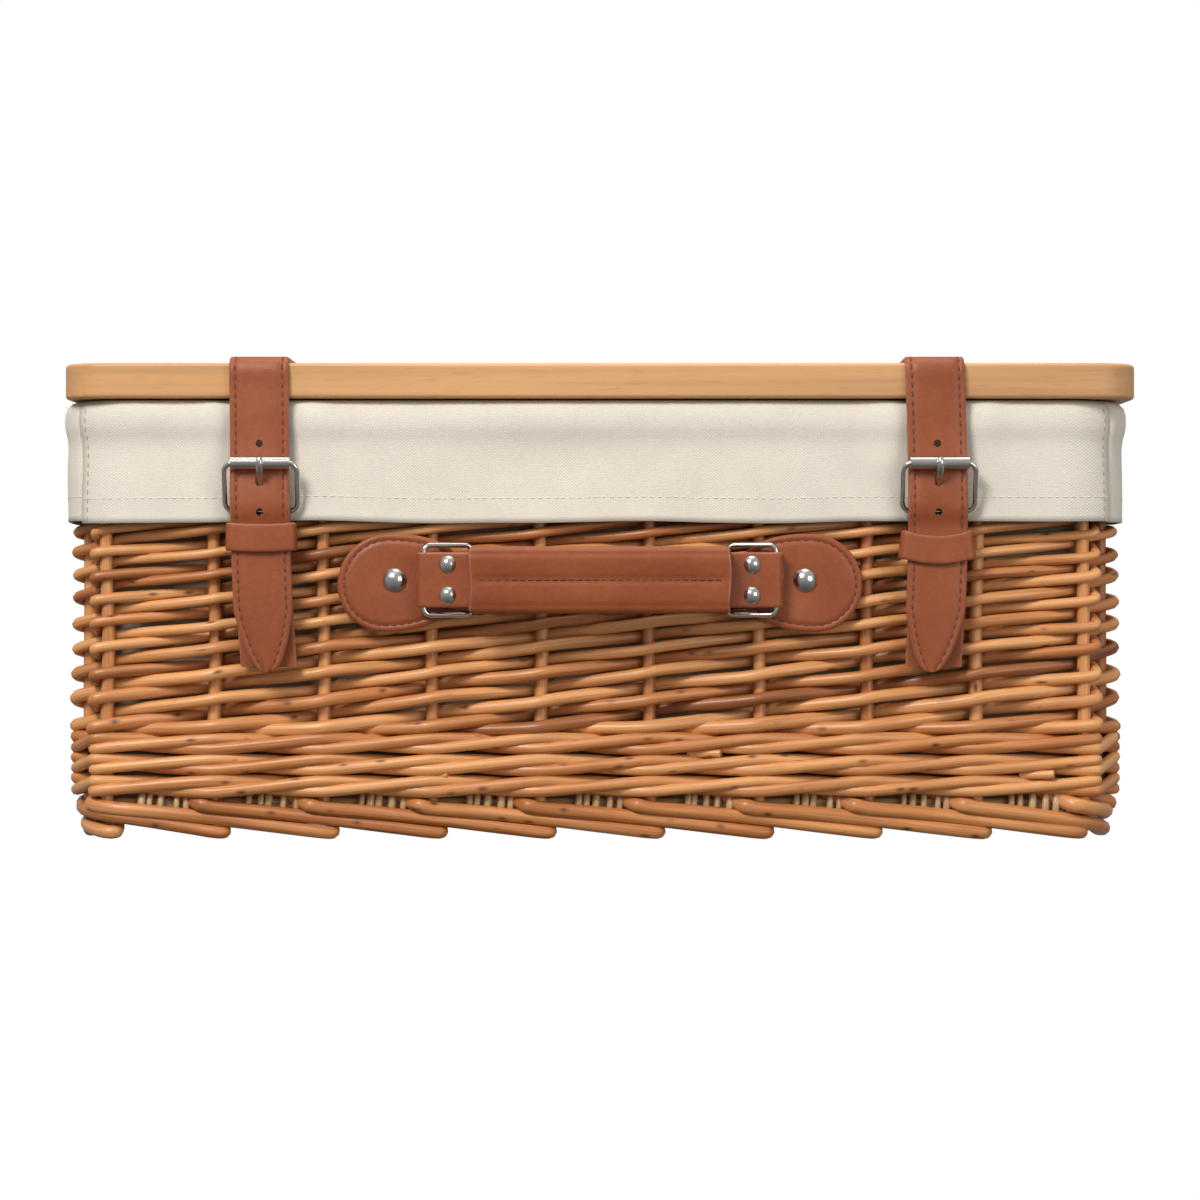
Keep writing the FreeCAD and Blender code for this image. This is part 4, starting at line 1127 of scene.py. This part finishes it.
def straps():
    for name, side, drift in (("left", -1, (-1.2, -0.6, 0.3, 2.7)), ("right", 1, (-1.7, -0.5, -0.8, -3.4))):
        piece, stitches = front_strap(name + "_strap_front", side, drift)
        for made in (piece, stitches):
            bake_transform(made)
        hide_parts(name + "_strap_tail", name + "_strap")
        piece, stitches = back_strap(name + "_strap_back", side)
        for made in (piece, stitches):
            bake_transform(made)
        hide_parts(name + "_strap_anchor")
        for make, node_name, body, slot in (
            (buckle_frame, "_buckle_frame", "_buckle", "nickel"),
            (prong, "_prong", "_buckle_prong", "nickel"),
            (keeper, "_keeper", "_strap_keeper", "leather"),
            (tab, "_buckle_tab", None, "leather"),
        ):
            piece = make("shaped_" + name + node_name, name)
            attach(piece, name + body if body else "basket")
            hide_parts(name + node_name)


straps()

# ---------------------------------------------------------------- the handle

grip_low, grip_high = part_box("handle_cover")
GRIP_Z = (grip_low.z + grip_high.z) / 2
GRIP_Y = (grip_low.y + grip_high.y) / 2
GRIP_HALF_X = (grip_high.x - grip_low.x) / 2
GRIP_HALF_Y = (grip_high.y - grip_low.y) / 2
GRIP_HALF_Z = (grip_high.z - grip_low.z) / 2
SEAM_END = 3.4 * MM
GRIP_LEAN = 0.12


def grip():
    """The padded handle: leather wrapped round a core, with a sunk seam along the front."""
    turn = np.linspace(0, 2 * math.pi, 72, endpoint=False)
    round_z = np.sign(np.sin(turn)) * np.abs(np.sin(turn)) ** 0.86
    round_y = -np.sign(np.cos(turn)) * np.abs(np.cos(turn)) ** 0.30
    from_end = np.array((0, 0.25, 0.8, 1.8, 3.2, 5, 8, 12)) * MM
    stations = np.concatenate((-GRIP_HALF_X + from_end, np.linspace(-GRIP_HALF_X + 15 * MM, GRIP_HALF_X - 15 * MM, 36),
                               (GRIP_HALF_X - from_end)[::-1]))
    rows = []
    for x in stations:
        near_end = GRIP_HALF_X - abs(x)
        ease = 1 - 0.055 * math.exp(-near_end / (0.5 * MM))
        puff = 1 + 0.03 * math.sin(x * 90) + 0.02 * noise.noise(Vector((x * 60, 2.0, 0)))
        z = GRIP_HALF_Z * ease * round_z
        y = GRIP_HALF_Y * ease * round_y * puff - GRIP_LEAN * z
        front = round_y < 0
        seam = np.exp(-(z / (0.8 * MM)) ** 2) * smooth((near_end - 1 * MM) / (4 * MM))
        crease = np.exp(-((np.abs(z) - 10.9 * MM) / (0.7 * MM)) ** 2)
        hollow = np.exp(-(z / (6 * MM)) ** 2)
        y = y + np.where(front, 0.80 * MM * seam + 0.75 * MM * hollow + 0.28 * MM * crease, 0)
        ragged = 0.45 * MM * np.sin(turn * 3 + np.sign(x)) * math.exp(-near_end / (1.5 * MM)) * np.sign(x)
        rows.append(np.stack((x + ragged, GRIP_Y + y, GRIP_Z + z), axis=-1))
    mesh = Mesh()
    mesh.grid(np.stack(rows), wrap=True, caps=True)
    ends = len(stations) - 1
    columns = len(turn)
    for row in (0, 1, ends - 2, ends - 1):
        mesh.slots[row * columns:(row + 1) * columns] = [1] * columns
    piece = mesh.build("leather_grip", LEATHER, LEATHER_EDGE)
    row = np.linspace(-GRIP_HALF_X + SEAM_END, GRIP_HALF_X - SEAM_END, 60)
    line = np.stack((row, np.full(60, grip_low.y + 1.55 * MM), np.full(60, GRIP_Z)), axis=-1)
    threads = Mesh()
    stitch_row(threads, line, np.broadcast_to((0.0, -1.0, 0.0), line.shape), 3.4 * MM, 2.7 * MM, 0.38 * MM)
    stitches = threads.build("grip_stitches", BROWN_THREAD)
    for made in (piece, stitches):
        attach(made, "grip")
    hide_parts("handle_cover", "handle_core")


PAD_X = 91.0
PAD_R = 20.9
NECK_X = 58.0
NECK_HALF = 11.7
PAD_DROP = 2.0
NECK_CURVE = 2.2


def pad_outline():
    """Round pad drawn in to a narrower neck: (distance towards the grip, height) about the pad's centre."""
    reach = PAD_X - NECK_X
    arc = np.linspace(math.pi / 2, 3 * math.pi / 2, 64)
    spots = PAD_R * np.stack((np.cos(arc), np.sin(arc)), axis=-1)
    share = np.linspace(0, 1, 24)[1:]
    half = NECK_HALF + (PAD_R - NECK_HALF) * (1 - share ** NECK_CURVE)
    lower = np.stack((share * reach, -half), axis=-1)
    across = np.linspace(-NECK_HALF, NECK_HALF, 10)[1:-1]
    end = np.stack((np.full(len(across), reach), across), axis=-1)
    upper = (lower * (1, -1))[::-1]
    outline = np.vstack((spots, lower, end, upper))
    outline[:, 1] -= PAD_DROP * np.clip((reach - outline[:, 0]) / (reach + PAD_R), 0, 1)
    soft = outline
    for _ in range(30):
        soft = (np.roll(soft, 1, axis=0) + 2 * soft + np.roll(soft, -1, axis=0)) / 4
    near_end = smooth((outline[:, :1] - 16) / 8)
    return outline * (1 - near_end) + soft * near_end


def handle_pad(name, side, side_name):
    """Stitched pad riveted to the wall, and its neck, which folds back round the ring's inner bar."""
    low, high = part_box(side_name + "_handle_pad")
    rivet_low, rivet_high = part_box("handle_pad_rivets")
    rivet_x = rivet_high.x - 5 * MM
    thick = 3.2
    outline = pad_outline()
    ahead = np.roll(outline, -1, axis=0) - np.roll(outline, 1, axis=0)
    inward = np.stack((-ahead[:, 1], ahead[:, 0]), axis=-1)
    inward /= np.linalg.norm(inward, axis=1, keepdims=True)
    rings = [(0.35, 0.0), (0.0, 0.35), (0.0, 2.2), (0.25, 2.75), (0.7, 3.1), (1.3, thick), (2.3, thick),
             (2.55, thick - 0.3), (2.95, thick - 0.3), (3.2, thick), (5.0, thick + 0.1)]
    rows = [(outline + inward * inset, rise) for inset, rise in rings]
    last = rows[-1][0]
    rows += [(last * share, thick + 0.15) for share in (0.8, 0.62, 0.45, 0.3, 0.15)]
    wall_y = -150.3
    points = []
    for flat, rise in rows:
        x = side * (PAD_X - flat[:, 0]) * MM
        away = np.hypot(x - side * rivet_x, flat[:, 1] * MM)
        sunk = 0.6 * np.exp(-(away / (9 * MM)) ** 2) if rise > thick else 0.0
        points.append(np.stack((x, (Y0 + wall_y - rise + sunk) * MM * np.ones(len(flat)),
                                GRIP_Z + flat[:, 1] * MM), axis=-1))
    mesh = Mesh()
    slots = [0] * len(outline)
    mesh.grid(np.stack(points), wrap=True, caps=True, slot=slots)
    for row in range(3):
        mesh.slots[row * len(outline):(row + 1) * len(outline)] = [1] * len(outline)
    bar = np.array((54.5, -153.9))
    turns = np.radians(np.linspace(90, 270, 9))
    bend = bar + 1.35 * np.stack((np.cos(turns), np.sin(turns)), axis=-1)
    hand = np.vstack((((68, -151.0), (60, -151.1), (57, -152.0)), bend, ((57.5, -155.6), (62, -153.9), (68, -153.6))))
    flat = curve_through(hand, 5)
    line = np.stack((side * flat[:, 0] * MM, (Y0 + flat[:, 1]) * MM, np.full(len(flat), GRIP_Z)), axis=-1)
    steps = np.gradient(line, axis=0)
    out = np.stack((steps[:, 1], -steps[:, 0], np.zeros(len(steps))), axis=-1) * side
    out /= np.linalg.norm(out, axis=1, keepdims=True)
    ribbon(mesh, line, -out, UP, NECK_HALF * MM, 1.25 * MM, groove=False)
    piece = mesh.build(name, LEATHER, LEATHER_EDGE)
    row = outline + inward * 2.75
    keep = row[:, 0] < PAD_X - NECK_X - 3
    keep_line = np.stack((side * (PAD_X - row[:, 0]) * MM, np.full(len(row), (Y0 + wall_y - thick + 0.3) * MM),
                          GRIP_Z + row[:, 1] * MM), axis=-1)
    order = np.roll(np.arange(len(row)), -int(np.argmax(~keep)))
    chosen = keep_line[order][keep[order]]
    threads = Mesh()
    stitch_row(threads, chosen, np.broadcast_to((0.0, -1.0, 0.0), chosen.shape), 3.4 * MM, 2.4 * MM, 0.32 * MM)
    return piece, threads.build(name + "_stitches", BROWN_THREAD)


def end_loop(name, side):
    """Flap folded round the ring's outer bar, its two layers riveted and tucked into the grip."""
    bar = np.array((74.8, -158.3))
    turns = np.radians(np.linspace(-78, 95, 9))
    bend = bar + 1.75 * np.stack((np.cos(turns), np.sin(turns)), axis=-1)
    hand = np.vstack((((51, -161.35), (57, -161.35), (64, -160.25), (70, -160.0)), bend,
                      ((70, -157.7), (64, -159.3), (57, -160.9), (51, -161.0))))
    flat = curve_through(hand, 6)
    line = np.stack((side * flat[:, 0] * MM, (Y0 + flat[:, 1]) * MM, np.full(len(flat), GRIP_Z)), axis=-1)
    steps = np.gradient(line, axis=0)
    out = np.stack((steps[:, 1], -steps[:, 0], np.zeros(len(steps))), axis=-1) * side
    out /= np.linalg.norm(out, axis=1, keepdims=True)
    mesh = Mesh()
    ribbon(mesh, line, out, UP, 11.75 * MM, 1.45 * MM, groove=False)
    return mesh.build(name, LEATHER, LEATHER_EDGE)


def handle():
    grip()
    for name, side in (("left", -1), ("right", 1)):
        piece, stitches = handle_pad(name + "_pad_shaped", side, name)
        for made in (piece, stitches):
            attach(made, "basket")
        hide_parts(name + "_handle_pad")
        piece = end_loop(name + "_flap", side)
        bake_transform(piece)
        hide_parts(name + "_handle_loop")


handle()

for cad_name, cad_node in frame["nodes"].items():
    if cad_node.hide_render:
        continue
    slot_name = next(part["material_slot"] for part in frame["record"]["subparts"] if part["node"] == cad_name)
    chosen = {"nickel": NICKEL, "pine": BOARD, "leather": LEATHER, "canvas": CANVAS}.get(slot_name, LEATHER)
    for material_slot in cad_node.material_slots:
        material_slot.material = chosen


# ---------------------------------------------------------------- stage

CAMERA_DISTANCE = 1.6
FRAME_WIDTH = 0.5124
SENSOR = 36.0
AMBIENT_LOW = 0.10
AMBIENT_HIGH = 0.62


def stage():
    scene = bpy.context.scene
    scene.view_settings.view_transform = "Standard"
    data = bpy.data.cameras.new("camera")
    data.sensor_width = SENSOR
    data.lens = SENSOR * CAMERA_DISTANCE / FRAME_WIDTH
    data.clip_end = 50
    camera = bpy.data.objects.new("camera", data)
    camera.location = (0, weave_low.y - CAMERA_DISTANCE, 0.1025)
    camera.rotation_euler = (math.pi / 2, 0, 0)
    scene.collection.objects.link(camera)
    scene.camera = camera

    world = bpy.data.worlds.new("studio")
    world.use_nodes = True
    tree = world.node_tree
    upward = node(tree, "ShaderNodeSeparateXYZ", {0: node(tree, "ShaderNodeTexCoord").outputs["Generated"]})
    soft = node(tree, "ShaderNodeMapRange", {"Value": upward.outputs["Z"], "From Min": -1.0, "From Max": 1.0,
                                             "To Min": AMBIENT_LOW, "To Max": AMBIENT_HIGH})
    seen = node(tree, "ShaderNodeLightPath").outputs["Is Camera Ray"]
    strength = node(tree, "ShaderNodeMix", {"Factor": seen, "A": soft.outputs["Result"], "B": 1.0})
    tree.links.new(strength.outputs["Result"], tree.nodes["Background"].inputs["Strength"])
    tree.nodes["Background"].inputs["Color"].default_value = (1, 1, 1, 1)
    scene.world = world
    lights = (
        ("key", (-0.75, -1.5, 1.35), 0.65, 30.0),
        ("fill", (1.3, -1.6, 0.5), 1.0, 9.0),
        ("top", (0.1, -0.1, 1.8), 1.0, 10.0),
    )
    for name, place, size, power in lights:
        lamp = bpy.data.lights.new(name, "AREA")
        lamp.size = size
        lamp.energy = power
        lamp_object = bpy.data.objects.new(name, lamp)
        lamp_object.location = place
        aim = Vector((0, CENTRE_Y, 0.1)) - Vector(place)
        lamp_object.rotation_euler = aim.to_track_quat("-Z", "Y").to_euler()
        scene.collection.objects.link(lamp_object)


stage()
